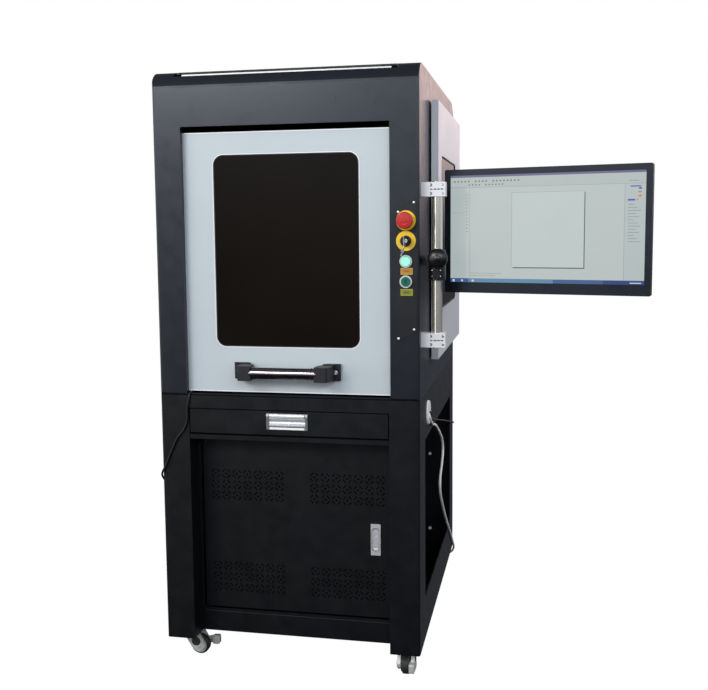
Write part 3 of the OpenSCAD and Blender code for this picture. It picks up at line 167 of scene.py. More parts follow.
def times(colour, factor):
    return tuple(min(1.0, c * factor) for c in colour)


COAT_ROUGHNESS = 0.15
GRAIN_STRENGTH = 0.25
EMITTER_BASE = 0.08  # the share of its colour that a lit surface keeps when its light is off
finish = {}


def surface(name, colour, metallic=0.0, rough=(0.35, 0.45), grain=260.0, grain_depth=0.00012, wear=0.1,
            patch=5.0, coat=0.0, specular=0.5, shine=(1, 1, 1), stretch=(1, 1, 1), emit=0.0, top_shade=0.0):
    """A finish with slow colour patches, uneven gloss and a fine grain; shine tints its reflections.

    The last argument makes the faces that look up rougher and darkens their reflections: painted shade.
    """
    finish[name], n = material_nodes(name)
    shader = n.add("ShaderNodeBsdfPrincipled", Metallic=metallic)
    for socket, value in (("Specular IOR Level", specular), ("Specular Tint", (*shine, 1)),
                          ("Coat Weight", coat), ("Coat Roughness", COAT_ROUGHNESS)):
        shader.inputs[socket].default_value = value
    slow = n.ramp(n.noise(patch, 4.0), 0.0, 1.0)
    base = times(colour, EMITTER_BASE) if emit else colour
    n.link(n.mix(slow, times(base, 1 - wear), times(base, 1 + wear)), shader.inputs["Base Color"])
    roughness = n.ramp(n.noise(patch * 6, 3.0, stretch), *rough)
    fine = n.noise(grain, 2.0, stretch)
    n.link(n.bump(fine, GRAIN_STRENGTH, grain_depth), shader.inputs["Normal"])
    if top_shade:
        facing = n.add("ShaderNodeSeparateXYZ")
        n.link(n.add("ShaderNodeNewGeometry").outputs["Normal"], facing.inputs["Vector"])
        looks_up = n.ramp(facing.outputs["Z"], 0.0, 1.0, 0.02, 0.2)
        # Painted shade: the reflections of the faces that look up are darkened through the specular tint.
        n.link(n.mix(looks_up, shine, times(shine, 1 - top_shade)), shader.inputs["Specular Tint"])
        roughness = n.math("ADD", roughness, n.ramp(facing.outputs["Z"], 0.0, top_shade * 0.6, 0.02, 0.3))
    n.link(roughness, shader.inputs["Roughness"])
    if emit:
        n.link(n.mix(slow, times(colour, 0.97), colour), shader.inputs["Emission Color"])
        shader.inputs["Emission Strength"].default_value = emit
    n.link(shader.outputs["BSDF"], n.out.inputs["Surface"])


def tinted_glass(name, tint):
    """Dark laser-safe glazing: a clear tint that lets a little light through, under a sharp reflection."""
    finish[name], n = material_nodes(name)
    clear = n.add("ShaderNodeBsdfTransparent", Color=(*tint, 1))
    body = n.add("ShaderNodeBsdfPrincipled")
    shade = n.ramp(n.noise(3.0), 0, 1)
    n.link(n.mix(shade, times(tint, 0.05), times(tint, 0.09)), body.inputs["Base Color"])
    n.link(n.ramp(n.noise(9.0), 0.03, 0.07), body.inputs["Roughness"])
    body.inputs["Specular IOR Level"].default_value = 0.36
    n.link(n.bump(n.noise(7.0), 0.03, 0.001), body.inputs["Normal"])
    n.blend(0.6, clear.outputs["BSDF"], body.outputs["BSDF"])


LOWER = (0.0029, 0.0033, 0.0042)
POLISH = 0.00003  # the grain's depth on polished metal
ALONG_X, ALONG_Z = (0.03, 1, 1), (1, 1, 0.03)  # brushed grain

# Finishes of the record's slots
# The cabinet paints darken the reflections of their faces that look up: painted shade.
surface("upper_paint", (0.01, 0.012, 0.0165), rough=(0.27, 0.34), grain=420, wear=0.06, specular=0.52,
        shine=(0.84, 0.9, 1.0), top_shade=0.75)
surface("lower_paint", LOWER, rough=(0.33, 0.41), grain=420, wear=0.06, specular=0.44,
        shine=(0.86, 0.93, 1.0), top_shade=0.6)
surface("lower_door_paint", times(LOWER, 1.15), rough=(0.36, 0.44), grain=420, wear=0.06, specular=0.37,
        shine=(0.9, 0.95, 1.0))
surface("extrusion", (0.62, 0.63, 0.65), 0.9, (0.28, 0.38), 900, stretch=(1, 1, 0.02))
surface("plate_black", (0.01, 0.0115, 0.014), rough=(0.36, 0.44), grain=500, specular=0.35)
surface("legend_yellow", (0.88, 0.58, 0.03), rough=(0.25, 0.35), coat=0.3)
surface("bezel_silver", (0.84, 0.85, 0.87), 0.35, (0.16, 0.26), 700, POLISH)
surface("grommet_white", (0.86, 0.86, 0.85), rough=(0.3, 0.4))
surface("bracket_white", (0.8, 0.81, 0.83), 0.2, (0.3, 0.42), 500)
surface("post_chrome", (0.96, 0.9, 0.82), 0.85, (0.12, 0.18), 300, 0.00002)
surface("case_grey", (0.1, 0.105, 0.11), rough=(0.4, 0.52))
surface("laser_box", (0.24, 0.25, 0.26), 0.5, (0.35, 0.48), 700, stretch=ALONG_X)
surface("table_metal", (0.66, 0.67, 0.68), 0.9, (0.22, 0.34), 800, stretch=ALONG_X)
surface("zinc", (0.52, 0.53, 0.5), 0.25, (0.28, 0.42), 160, 0.0001, wear=0.12, patch=40)
surface("hinge_steel", (0.66, 0.67, 0.69), 1.0, (0.24, 0.36), 800, stretch=ALONG_Z)
surface("door_white", (0.52, 0.585, 0.625), rough=(0.34, 0.44), grain=420, wear=0.03)
surface("carrier_white", (0.86, 0.87, 0.88), rough=(0.32, 0.42))
tinted_glass("window_dark", (0.16, 0.115, 0.08))
surface("handle_black", (0.012, 0.013, 0.017), rough=(0.42, 0.55), grain=600, specular=0.4)
surface("handle_chrome", (0.42, 0.38, 0.4), 1.0, (0.12, 0.2), 400, POLISH)
surface("side_door_grey", (0.66, 0.69, 0.74), rough=(0.3, 0.4), grain=420, wear=0.03)
surface("keyboard_black", (0.03, 0.03, 0.033), rough=(0.5, 0.62), grain=900)
surface("pull_chrome", (0.62, 0.64, 0.66), 0.55, (0.22, 0.32), 600, POLISH)
surface("lock_chrome", (0.66, 0.67, 0.7), 0.35, (0.24, 0.34), 600, POLISH)
surface("stop_red", (0.49, 0.024, 0.02), rough=(0.34, 0.44), coat=0.05, wear=0.05, specular=0.3)
surface("key_steel", (0.76, 0.77, 0.79), 1.0, (0.14, 0.26), 700, POLISH)
surface("start_green", (0.4, 0.95, 0.78), rough=(0.2, 0.3), coat=0.3, emit=1.0)
surface("reset_green", (0.006, 0.15, 0.09), rough=(0.2, 0.3), coat=0.3)
surface("arm_black", (0.008, 0.008, 0.009), rough=(0.24, 0.34), grain=500)
surface("monitor_black", (0.007, 0.009, 0.015), rough=(0.3, 0.4), grain=900, specular=0.34,
        shine=(0.76, 0.84, 1.0))
surface("screen", (0.475, 0.53, 0.525), rough=(0.3, 0.36), emit=0.9, wear=0.02, patch=2.0)
surface("carriage_dark", (0.07, 0.07, 0.075), rough=(0.38, 0.5), grain=600)
surface("screw_steel", (0.72, 0.72, 0.74), 1.0, (0.16, 0.28), 800, stretch=(1, 1, 40))
surface("wheel_black", (0.018, 0.018, 0.018), rough=(0.55, 0.7), grain=500, wear=0.2, patch=60)
surface("cord_white", (0.78, 0.78, 0.77), rough=(0.42, 0.52), grain=900)
surface("cord_black", (0.008, 0.008, 0.009), rough=(0.42, 0.55), grain=900, specular=0.35)

for subpart in frame["record"]["subparts"]:
    mesh = frame["nodes"][subpart["node"]].data
    mesh.materials.clear()
    mesh.materials.append(finish[subpart["material_slot"]])

# Looks of single pieces
for name, colour in (("start_label", (0.42, 0.24, 0.035)), ("reset_label", (0.24, 0.23, 0.018)),
                     ("start_border", (0.66, 0.42, 0.07)), ("start_field", (0.42, 0.1, 0.03)),
                     ("reset_border", (0.42, 0.44, 0.08)), ("reset_field", (0.1, 0.11, 0.02))):
    surface(name, colour, wear=0.08, patch=60)
surface("bright_metal", (0.9, 0.91, 0.92), 0.2, (0.18, 0.28), 700, POLISH)
surface("stop_mark", (0.56, 0.045, 0.038), rough=(0.3, 0.4), wear=0.04)
surface("rim_glow", (0.34, 0.74, 0.58), rough=(0.2, 0.3))
surface("reset_dark", (0.002, 0.035, 0.022), rough=(0.25, 0.35))
surface("felt", (0.0015, 0.0015, 0.0017), rough=(0.9, 1.0), grain=1500, specular=0.05)
surface("gasket_rubber", (0.012, 0.012, 0.012), rough=(0.55, 0.7), grain=900, wear=0.2)
# Near white for edges that catch the light: painted highlight.
surface("edge_highlight", (0.93, 0.94, 0.95), rough=(0.25, 0.35), wear=0.02)
# A lighter copy of the pull's metal: painted highlight.
surface("pull_highlight", (0.8, 0.82, 0.84), 0.35, (0.2, 0.3), 600, POLISH)
surface("scoop_grey", (0.5, 0.53, 0.56), 0.35, (0.22, 0.32), 600, POLISH)
surface("cheek_grey", (0.13, 0.135, 0.145), 0.3, (0.3, 0.4), 600, POLISH)
# A lighter copy of the lower paint: painted highlight.
surface("hem_highlight", (0.026, 0.026, 0.031), rough=(0.33, 0.41), grain=420, wear=0.06, specular=0.4)
surface("lock_rim", (0.2, 0.21, 0.23), 0.3, (0.3, 0.4))
surface("rim_grey", (0.26, 0.27, 0.29), 0.3, (0.3, 0.4))
surface("hub_grey", (0.5, 0.5, 0.48), rough=(0.4, 0.55), wear=0.12, patch=60)


# ---- places, in millimetres ----
def box(node):
    """The two corners of a node's box."""
    low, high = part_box(node)
    return low / MM, high / MM


def middle(node):
    low, high = box(node)
    return (low + high) / 2


def pivot(joint):
    return Vector(joints[joint]["pos_m"]) / MM


# ---- mesh helpers, in millimetres ----
def piece(name, build, body, slot, look=None, bevel=0.0, smooth=False):
    """A mesh made by build(bmesh), riding on a body, finished as a slot of the record."""
    mesh = bpy.data.meshes.new(name)
    bm = bmesh.new()
    build(bm)
    bm.transform(Matrix.Scale(MM, 4))
    bmesh.ops.recalc_face_normals(bm, faces=bm.faces)
    bm.to_mesh(mesh)
    bm.free()
    mesh.materials.append(finish[look or slot])
    obj = bpy.data.objects.new(name, mesh)
    bpy.context.collection.objects.link(obj)
    if bevel:
        edge = obj.modifiers.new("bevel", "BEVEL")
        edge.width = bevel * MM
        edge.segments = 2
        edge.limit_method = "ANGLE"
    if smooth:
        mesh.polygons.foreach_set("use_smooth", [True] * len(mesh.polygons))
    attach(obj, body)
    return obj


def rides(body, slot, look=None, **more):
    """Makes a piece of the function that follows, under that function's name."""
    return lambda build: piece(build.__name__, build, body, slot, look, **more)


def skin(bm, rings, capped=True):
    """Faces from ring to ring, and over both ends."""
    for one, two in zip(rings, rings[1:]):
        for k in range(len(one)):
            after = (k + 1) % len(one)
            bm.faces.new((one[k], one[after], two[after], two[k]))
    if capped:
        bm.faces.new(rings[0])
        bm.faces.new(rings[-1])


def block(bm, low, high, turn=None):
    """A box between two corners; turn is a matrix that carries it to its place."""
    low, high = Vector(low), Vector(high)
    for v in bmesh.ops.create_cube(bm, size=1.0)["verts"]:
        v.co = Vector([(low[i] + high[i]) / 2 + v.co[i] * (high[i] - low[i]) for i in range(3)])
        if turn:
            v.co = turn @ v.co


def circle(bm, at, side, other, radius, steps):
    """A ring of points about at, in the plane of side and other."""
    angles = [2 * math.pi * k / steps for k in range(steps)]
    return [bm.verts.new(at + (side * math.cos(a) + other * math.sin(a)) * radius) for a in angles]


def lathe(bm, profile, at, axis, steps=40):
    """A turned form: profile is (distance along axis, radius) from one end to the other."""
    at, axis = Vector(at), Vector(axis).normalized()
    side = axis.orthogonal().normalized()
    other = axis.cross(side)
    skin(bm, [circle(bm, at + axis * along, side, other, radius, steps) for along, radius in profile])


def arc(across, up, start, end, steps):
    """Points on an ellipse with these half axes, from one angle to another, in degrees."""
    angles = [math.radians(start + (end - start) * i / steps) for i in range(steps + 1)]
    return [(across * math.cos(a), up * math.sin(a)) for a in angles]


def rounded(width, height, radius, steps=8):
    """The outline of a rounded rectangle about its middle, as (across, up) points."""
    points = []
    for k, (sx, sz) in enumerate(((1, 1), (-1, 1), (-1, -1), (1, -1))):
        points += [(sx * (width / 2 - radius) + x, sz * (height / 2 - radius) + z)
                   for x, z in arc(radius, radius, 90 * k, 90 * (k + 1), steps)]
    return points


def raised(bm, centre, view, outline, height):
    """An outline about centre, set out from it by height; view is its (across, up, out)."""
    across, up, out = view
    return [bm.verts.new(Vector(centre) + across * x + up * z + out * height) for x, z in outline]


def rim(bm, centre, view, outer, inner, thickness, steps=8):
    """A flat closed band between two rounded rectangles, each given as (width, height, radius)."""
    rows = [raised(bm, centre, view, rounded(*size, steps), height)
            for size, height in ((outer, 0), (outer, thickness), (inner, thickness), (inner, 0))]
    skin(bm, rows + rows[:1], capped=False)


def plate(bm, centre, view, outline, thickness):
    """A solid plate with the given outline, lying on centre and standing out by thickness."""
    skin(bm, [raised(bm, centre, view, outline, height) for height in (0, thickness)])


def ribbon(bm, left, right, profile):
    """A closed form whose section is profile, as (y, z) points, running from left to right."""
    skin(bm, [[bm.verts.new((x, y, z)) for y, z in profile] for x in (left, right)])


def screw_head(bm, at, out, radius, height=1.2):
    """A low domed head."""
    dome = [(0, radius), (height * 0.5, radius), (height * 0.85, radius * 0.75), (height, radius * 0.35)]
    lathe(bm, dome, at, out, 24)


# ---- cords ----
def smooth_route(route, steps=6):
    """Points on a smooth curve through the route's points."""
    pts = [Vector(p) for p in route]
    path = []
    last = len(pts) - 1
    for i in range(last):
        a, b, c, d = pts[max(i - 1, 0)], pts[i], pts[i + 1], pts[min(i + 2, last)]
        for k in range(steps):
            t = k / steps
            path.append(0.5 * (2 * b + (c - a) * t + (2 * a - 5 * b + 4 * c - d) * t * t
                               + (3 * b - a - 3 * c + d) * t ** 3))
    return path + [pts[-1]]


def path_length(path):
    return sum((b - a).length for a, b in zip(path, path[1:]))


def heading(path, i):
    return (path[min(i + 1, len(path) - 1)] - path[max(i - 1, 0)]).normalized()


def sweep(bm, path, radius, sides=14):
    """A round tube along a path, closed at both ends."""
    across = None
    rings = []
    for i, at in enumerate(path):
        way = heading(path, i)
        across = way.orthogonal() if across is None else across - way * across.dot(way)
        across.normalize()
        rings.append(circle(bm, at, across, way.cross(across), radius, sides))
    skin(bm, rings)


def sleeve(bm, path, length, root, tip, sides=16):
    """A tapered strain relief along the first stretch of a path."""
    used = [path[0]]
    for point in path[1:]:
        if path_length(used + [point]) > length:
            break
        used.append(point)
    rings = []
    for i, at in enumerate(used):
        way = heading(used, i)
        side = way.orthogonal().normalized()
        rings.append(circle(bm, at, side, way.cross(side), root + (tip - root) * i / (len(used) - 1), sides))
    skin(bm, rings)


def millimetres(points):
    return [tuple(v * MM for v in p) for p in points]


def scaled(path):
    """A path in metres, as the mesh helpers take it."""
    return [point / MM for point in path]


wall_x = box("lower_shell")[1].x
grommet_y, grommet_z = middle("grommet").yz
mains_radius = MAINS_DIAMETER / 2 / MM
mains_x = wall_x + mains_radius + 0.6
MAINS_ROUTE = millimetres([
    (wall_x + 2, grommet_y - 10, grommet_z - 8), (wall_x + 4.2, grommet_y + 4, grommet_z - 18),
    (mains_x + 1.6, grommet_y + 24, grommet_z - 30), (mains_x + 1, grommet_y + 66, grommet_z - 45),
    (mains_x, -115, 588), (mains_x, -12, 544), (mains_x, 44, 513), (mains_x, 68, 480), (mains_x, 42, 446),
    (mains_x, 0, 420), (mains_x, -9, 384), (mains_x, 32, 336), (mains_x, 170, 234), (mains_x, 320, 138),
    (mains_x, 384, 92), (mains_x - 1, 425, 62), (322, 455, 36), (296, 481, 15),
    (260, 496, mains_radius + 1.5), (225, 499, mains_radius + 0.4), (190, 498, mains_radius + 0.2)])
COIL_CENTRE = (0.176, 0.544)
COIL_RADIUS = 44 * MM
COIL_START, COIL_EXTRA = -73, 27  # degrees: where the coil starts, and how far it goes past whole turns
COIL_COLUMNS = (1, 0, -1, -1, 0, 1)  # each turn's place across the coil, in cord thicknesses
COIL_LEVELS = (1, 1, 1, 3, 3, 3)  # each turn's height, in cord radii
TAIL_ROUTE = millimetres([(150, 495, 9), (134, 497.5, 12), (116, 498, 14)])
RELIEF_LENGTH, RELIEF_ROOT, RELIEF_TIP = 26, 6.2, 4.2


def coil_path(per_turn=36):
    """Turns laid side by side, inwards on the floor and back outwards on top of them."""
    r = MAINS_DIAMETER / 2
    turns = len(COIL_COLUMNS)
    points = []
    for i in range(turns * per_turn + int(per_turn * COIL_EXTRA / 360) + 1):
        turn = min(i / per_turn, turns - 1 + 0.999)
        k = int(turn)
        after = min(k + 1, turns - 1)
        ease = max(0.0, (turn - k - 0.75) / 0.25)
        ease = ease * ease * (3 - 2 * ease)
        radius = COIL_RADIUS + 2 * r * (COIL_COLUMNS[k] + (COIL_COLUMNS[after] - COIL_COLUMNS[k]) * ease)
        level = r * (COIL_LEVELS[k] + (COIL_LEVELS[after] - COIL_LEVELS[k]) * ease)
        a = math.radians(COIL_START - 360 * i / per_turn)
        points.append(Vector((COIL_CENTRE[0] + radius * math.cos(a), COIL_CENTRE[1] + radius * math.sin(a),
                              level)))
    return points


mains_run = smooth_route(MAINS_ROUTE)
coil_turns = coil_path()
mains_tail = smooth_route([coil_turns[-1]] + TAIL_ROUTE)[1:]
mains_path = mains_run + coil_turns + mains_tail
mains = piece("mains_lead", lambda bm: sweep(bm, scaled(mains_path), mains_radius), "cabinet", "cord_white",
              smooth=True)


@rides("cabinet", "cord_white", smooth=True)
def mains_relief(bm):
    sleeve(bm, scaled(mains_run), RELIEF_LENGTH, RELIEF_ROOT, RELIEF_TIP)


@rides("cabinet", "cord_white", smooth=True)
def mains_plug_body(bm):
    """Moulded plug with a waisted grip and a tapered nose over its lead."""
    low, plug = box("mains_plug")[0], middle("mains_plug")
    grip = [(0, 4.4), (14, 6.0), (16, 9.5), (24, 12.4), (34, 11.4), (40, 13.4), (54, 13.6), (57, 12.6)]
    lathe(bm, grip, mains_path[-1] / MM + X * 4, -X, 32)
    for side in (-1, 1):
        lathe(bm, [(0, 2.3), (17, 2.3), (18.5, 1.2)], (low.x + 19, plug.y + side * 7, 14), -X, 16)


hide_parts("mains_plug")
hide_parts("mains_cord")

cord_x = -wall_x - 3.5
front_y = box("lower_shell")[0].y
rear_y = box("lower_rear_panel")[1].y
cord_y = front_y - 3.5
floor_z = box("worktable")[0].z
cord_z = floor_z + 2.9
CHAMBER_ROUTE = millimetres([
    (-252, -332, floor_z), (-252, -333, cord_z + 8), (-252, -344, cord_z + 14), (-252, -360, cord_z + 6),
    (-252, -376, cord_z + 0.6), (-252, -394, cord_z), (-252, front_y + 5, cord_z),
    (-252.5, cord_y + 2, floor_z - 2), (-254, cord_y, floor_z - 14), (-258.5, cord_y, 676),
    (-260, cord_y, 645), (-270, cord_y, 621), (-287, cord_y, 600), (-307, cord_y, 558), (-320, cord_y, 528),
    (-329, cord_y - 0.5, 511), (cord_x, front_y + 6, 496), (cord_x, -380, 470), (cord_x, -280, 412),
    (cord_x, -120, 352), (cord_x, 60, 318), (cord_x, 240, 318), (cord_x, 370, 340), (cord_x + 3, 420, 352),
    (-316, 434, 358), (-292, 436, 362), (-280, 430, 362), (-275, rear_y, 362)])
data_x = wall_x + DATA_DIAMETER / 2 / MM + 0.8
DATA_ROUTE = millimetres([
    (wall_x + 4, grommet_y - 2, grommet_z + 2), (wall_x + 6, grommet_y + 12, grommet_z - 2),
    (data_x + 0.5, -215, 630), (data_x, -140, 610), (data_x, 45, 570), (data_x, 255, 524), (data_x, 392, 494),
    (data_x - 1, 422, 486), (wall_x - 8, 431, 481), (300, 433, 475), (284, 430, 472), (278, rear_y, 471)])
for name, route, diameter, node in (("chamber_lead", CHAMBER_ROUTE, CHAMBER_DIAMETER, "chamber_cord"),
                                    ("data_wire", DATA_ROUTE, DATA_DIAMETER, "data_lead")):
    way = smooth_route(route)
    lead = piece(name, lambda bm: sweep(bm, scaled(way), diameter / 2 / MM), "cabinet", "cord_black",
                 smooth=True)
    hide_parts(node)

# ---- controls ----
strip_low, strip_high = box("control_plate")
strip_face = strip_low.y
stop_face = box("stop_head")[0].y
control_x, stop_z = middle("stop_head").xz
key_z = middle("key").z
start_z = middle("start_button").z
reset_z = middle("reset_button").z
plug_at = (control_x, strip_face - 11, key_z)  # the front of the key switch's turning plug
LABEL_GAP = 23.5
LABEL_DEPTH = 0.5
PRINT_DEPTH = 0.12


@rides("cabinet", "bezel_silver", smooth=True)
def strip_screws(bm):
    left, right, rise = strip_low.x + 7, strip_high.x - 6.5, 22
    for z in (strip_high.z - 37, strip_low.z + 10):
        screw_head(bm, (left, strip_face, z), -Y, 2.9)
        screw_head(bm, (right, strip_face, z + rise), -Y, 2.9)


# Two labels, each with a border and a plain darker field where such a plate has its print
for name, level in (("start", start_z - LABEL_GAP), ("reset", reset_z - LABEL_GAP - 2)):
    back = Vector((control_x + 1.5, strip_face, level))
    face = back - Y * LABEL_DEPTH
    outer, inner = (28.4, 15.4, 1.2), (26.2, 13.2, 0.8)
    for kind, build in (
            ("_label", lambda bm: plate(bm, back, FRONT, rounded(29, 16, 1.2, 4), LABEL_DEPTH)),
            ("_border", lambda bm: rim(bm, face, FRONT, outer, inner, PRINT_DEPTH, 4)),
            ("_field", lambda bm: plate(bm, face, FRONT, rounded(14, 4.4, 1.4, 3), PRINT_DEPTH))):
        piece(name + kind, build, "cabinet", "legend_yellow", name + kind)


@rides("cabinet", "plate_black", smooth=True)
def key_bezel(bm):
    ring = [(0, 12.8), (8.2, 12.8), (9.4, 12.0), (9.8, 10.8), (9.8, 8.3), (4.0, 8.3)]
    lathe(bm, ring, (control_x, strip_face, key_z), -Y, 48)


@rides("switch_key", "plate_black", smooth=True)
def plug_ring(bm):
    """The black rim of the turning plug."""
    lathe(bm, [(0, 8.0), (0.4, 8.0), (0.7, 7.6), (0.7, 5.3), (0, 5.3)], plug_at, -Y)


@rides("switch_key", "bezel_silver", "bright_metal", smooth=True)
def barrel_face(bm):
    """The bright face of the lock barrel round the key's blade."""
    lathe(bm, [(0, 5.3), (0.6, 5.3), (1.0, 4.8), (1.0, 2.2), (0.5, 2.0)], plug_at, -Y)


@rides("switch_key", "key_steel")
def key_ring(bm):
    """A split ring through the key's bow, with a second key hanging from it to the left."""
    hang = Vector((control_x - 1, stop_face + 4, key_z - 14))
    loop = [hang + Vector((0.3 * z, 0.5 * y, z)) for y, z in arc(5.5, 5.5, 0, 360, 40)[:-1]]
    sweep(bm, loop + [loop[0]], 0.8, 8)
    at, up = hang + Vector((-3, 0, -9)), Vector((-0.34, 0, -0.94))
    view = (Vector((0.94, 0, -0.34)), up, -Y)
    plate(bm, at, view, rounded(8, 8, 2.6, 5), 1.6)
    plate(bm, at + up * 8, view, rounded(3.6, 10, 0.8, 2), 1.6)


@rides("stop", "stop_red", "stop_mark")
def stop_arrows(bm):
    """Three curved arrows moulded on the face of the stop head."""
    for start in (0, 120, 240):
        tip = math.radians(start + 84)
        outline = arc(11.2, 11.2, start, start + 64, 8) + [(9.6 * math.cos(tip), 9.6 * math.sin(tip))]
        outline += arc(8, 8, start + 64, start, 8)
        plate(bm, (control_x, stop_face + 0.2, stop_z), FRONT, outline, 0.2)


@rides("cabinet", "bezel_silver", "rim_glow", smooth=True)
def start_rim(bm):
    """The lit rim that the start button throws on its bezel."""
    bezel_y = box("start_button")[0].y + 3
    lathe(bm, [(0, 13.5), (0.25, 13.5), (0.25, 11.8), (0, 11.8)], (control_x, bezel_y, start_z), -Y, 48)


@rides("reset", "reset_green", "reset_dark")
def reset_bar(bm):
    plate(bm, (control_x, box("reset_button")[0].y, reset_z), FRONT, rounded(3.4, 12, 1.4, 4), 0.25)


# ---- front door ----
GLASS_LAP = 10  # how far the glass reaches behind the skin, at each edge of the window
window_low, window_high = box("door_window")
window_at = middle("door_window")
skin_low, skin_high = box("door_skin")
skin_y = skin_low.y
window_width = window_high.x - window_low.x - 2 * GLASS_LAP
window_height = window_high.z - window_low.z - 2 * GLASS_LAP
carrier_low, carrier_high = box("door_carrier")
grip = middle("handle_tube")


# A thin light rim round the window's cut-out: painted highlight on the edge of the skin.
@rides("front_door", "carrier_white", "edge_highlight")
def window_edge(bm):
    rim(bm, (window_at.x, skin_y, window_at.z), FRONT, (window_width + 3.6, window_height + 3.6, 26.8),
        (window_width, window_height, 25), 0.35)


@rides("front_door", "monitor_black", "gasket_rubber")
def window_gasket(bm):
    rim(bm, (window_at.x, skin_y + 2.4, window_at.z), FRONT, (window_width - 0.2, window_height - 0.2, 24.9),
        (window_width - 5, window_height - 5, 22.5), 1.4)


@rides("front_door", "carrier_white", "edge_highlight")
def skin_edge(bm):
    """The rounded edge round the folded door skin, in near white: painted highlight."""
    wide, tall = skin_high.x - skin_low.x, skin_high.z - skin_low.z
    rim(bm, (0, skin_y, (skin_low.z + skin_high.z) / 2), FRONT, (wide - 0.4, tall - 0.4, 1.2),
        (wide - 4.6, tall - 4.6, 0.8), 0.3, 3)


@rides("cabinet", "monitor_black", "gasket_rubber")
def slot_shade_strip(bm):
    """Dark tufts in the crown's slot behind the raised carrier: painted shade on the slot's rear lip."""
    top, tufts, inset = box("upper_shell")[1].z, 240, 3
    pitch = (carrier_high.x - carrier_low.x - 2 * inset) / tufts
    for k in range(tufts):
        x = carrier_low.x + inset + (k + 0.5) * pitch
        y = carrier_high.y + 1.6 + 0.3 * math.sin(k * 2.3)
        block(bm, (x - pitch * 0.49, y, top - 16),
              (x + pitch * 0.49, y + 1.6, top - 0.7 + 0.12 * math.sin(k * 1.7)))


@rides("front_door", "monitor_black", "felt")
def carrier_felt(bm):
    """Felt strips on the carrier: down the front of both arms and over the ends of its top edge."""
    low, high, arm, end = carrier_low, carrier_high, 60, 14
    block(bm, (low.x + end, low.y - 0.4, high.z - 0.8), (high.x - end, high.y, high.z + 0.3))
    for side in (-1, 1):
        near, far = sorted((side * high.x, side * (high.x - arm)))
        block(bm, (near, low.y - 0.5, skin_high.z - 12), (far, low.y, high.z - 14))
        near, far = sorted((side * high.x, side * (high.x - end)))
        block(bm, (near, low.y - 0.4, high.z - 12), (far, high.y + 0.4, high.z + 0.4))


@rides("front_door", "bezel_silver", smooth=True)
def foot_screws(bm):
    foot_x, foot_face = box("handle_feet")[1].x - 12, skin_y - 9
    for side in (-1, 1):
        lathe(bm, [(0, 5.6), (2.4, 5.6), (3.6, 4.6), (3.6, 2.6), (1.4, 2.4)],
              (side * foot_x, foot_face, grip.z), -Y, 28)


@rides("front_door", "handle_black")
def tube_collars(bm):
    """Thin rings where the grip enters its feet."""
    for side in (-1, 1):
        at = (side * (box("handle_tube")[1].x - 11), grip.y, grip.z)
        lathe(bm, [(0, 14.6), (0, 15.2), (1.5, 15.2), (1.5, 14.6)], at, X * -side)


# ---- side door ----
@rides("side_door", "monitor_black", "gasket_rubber")
def side_gasket(bm):
    low, high = box("side_door_window")
    at = middle("side_door_window")
    wide, tall = high.y - low.y - 2 * GLASS_LAP, high.z - low.z - 2 * GLASS_LAP
    rim(bm, (box("side_door_panel")[1].x - 2.4, at.y, at.z), (Y, Z, X), (wide - 0.2, tall - 0.2, 24.9),
        (wide - 7, tall - 7, 21.5), 1.8)


# ---- drawer ----
@rides("drawer", "keyboard_black", bevel=0.7)
def keyboard_keys(bm):
    """A low case with five rows of single keys, a wide space bar and a number block."""
    low, high = box("keyboard")
    rows, columns, margin, half_gap = 5, 20, 8, 1.1
    number_gap, bar_start, bar_keys = 15, 4, 6
    base_top = high.z - 5.2
    pitch = (high.y - low.y - 2 * margin) / rows
    step = (high.x - low.x - 2 * margin) / columns
    block(bm, low, (high.x, high.y, base_top))
    for row in range(rows):
        y = low.y + margin + row * pitch
        k = 0
        while k < columns:
            span = bar_keys if row == 0 and k == bar_start else 1
            x = low.x + margin + k * step
            if k != number_gap:
                block(bm, (x + half_gap, y + half_gap, base_top - 0.1),
                      (x + step * span - half_gap, y + pitch - half_gap, high.z))
            k += span


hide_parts("keyboard")

pull_low, pull_high = box("pull_frame")
flap_low, flap_high = box("pull_flap")
pull_face = pull_low.y
CHEEK = 6
BROW_INSET = 8.6


@rides("drawer", "pull_chrome", "pull_highlight")
def pull_top(bm):
    """The rounded brow over the flap and the small nubs at its ends, lighter than the rest of the pull: painted
    highlight.
    """
    top, base = pull_high.z - 0.6, pull_high.z - 11.8
    shoulder = base + 6
    brow = [(pull_face + 0.4, base + 1.5), (pull_face - 1.5, base + 1.5), (pull_face - 2.6, base + 3)]
    for i, (y, z) in enumerate(arc(-2.9, top - shoulder, 0, 90, 6)):
        brow.append((pull_face + y + 0.5 * i / 6, shoulder + z))
    brow.append((pull_face + 0.2, top))
    ribbon(bm, pull_low.x + BROW_INSET, pull_high.x - BROW_INSET, brow)
    for x in (pull_low.x, pull_high.x - CHEEK):
        block(bm, (x, pull_face - 2.0, pull_high.z - 6.4), (x + CHEEK, pull_face + 0.5, pull_high.z - 2.6))


@rides("drawer", "pull_chrome", "cheek_grey", bevel=0.2)
def pull_cheeks(bm):
    """Fine ribs down both sides of the frame."""
    ribs, pitch, height = 11, 2.9, 2.5
    for left in (pull_low.x, pull_high.x - CHEEK):
        for k in range(ribs):
            z = pull_low.z + 0.8 + k * pitch
            block(bm, (left, pull_face - 0.7, z), (left + CHEEK, pull_face + 0.3, z + height))


@rides("drawer", "pull_chrome", "edge_highlight", bevel=0.3)
def pull_sill(bm):
    """The lower edge of the frame, in near white: painted highlight."""
    block(bm, (pull_low.x + BROW_INSET, pull_face - 0.9, pull_low.z + 0.6),
          (pull_high.x - BROW_INSET, pull_face + 0.3, pull_low.z + 5.4))


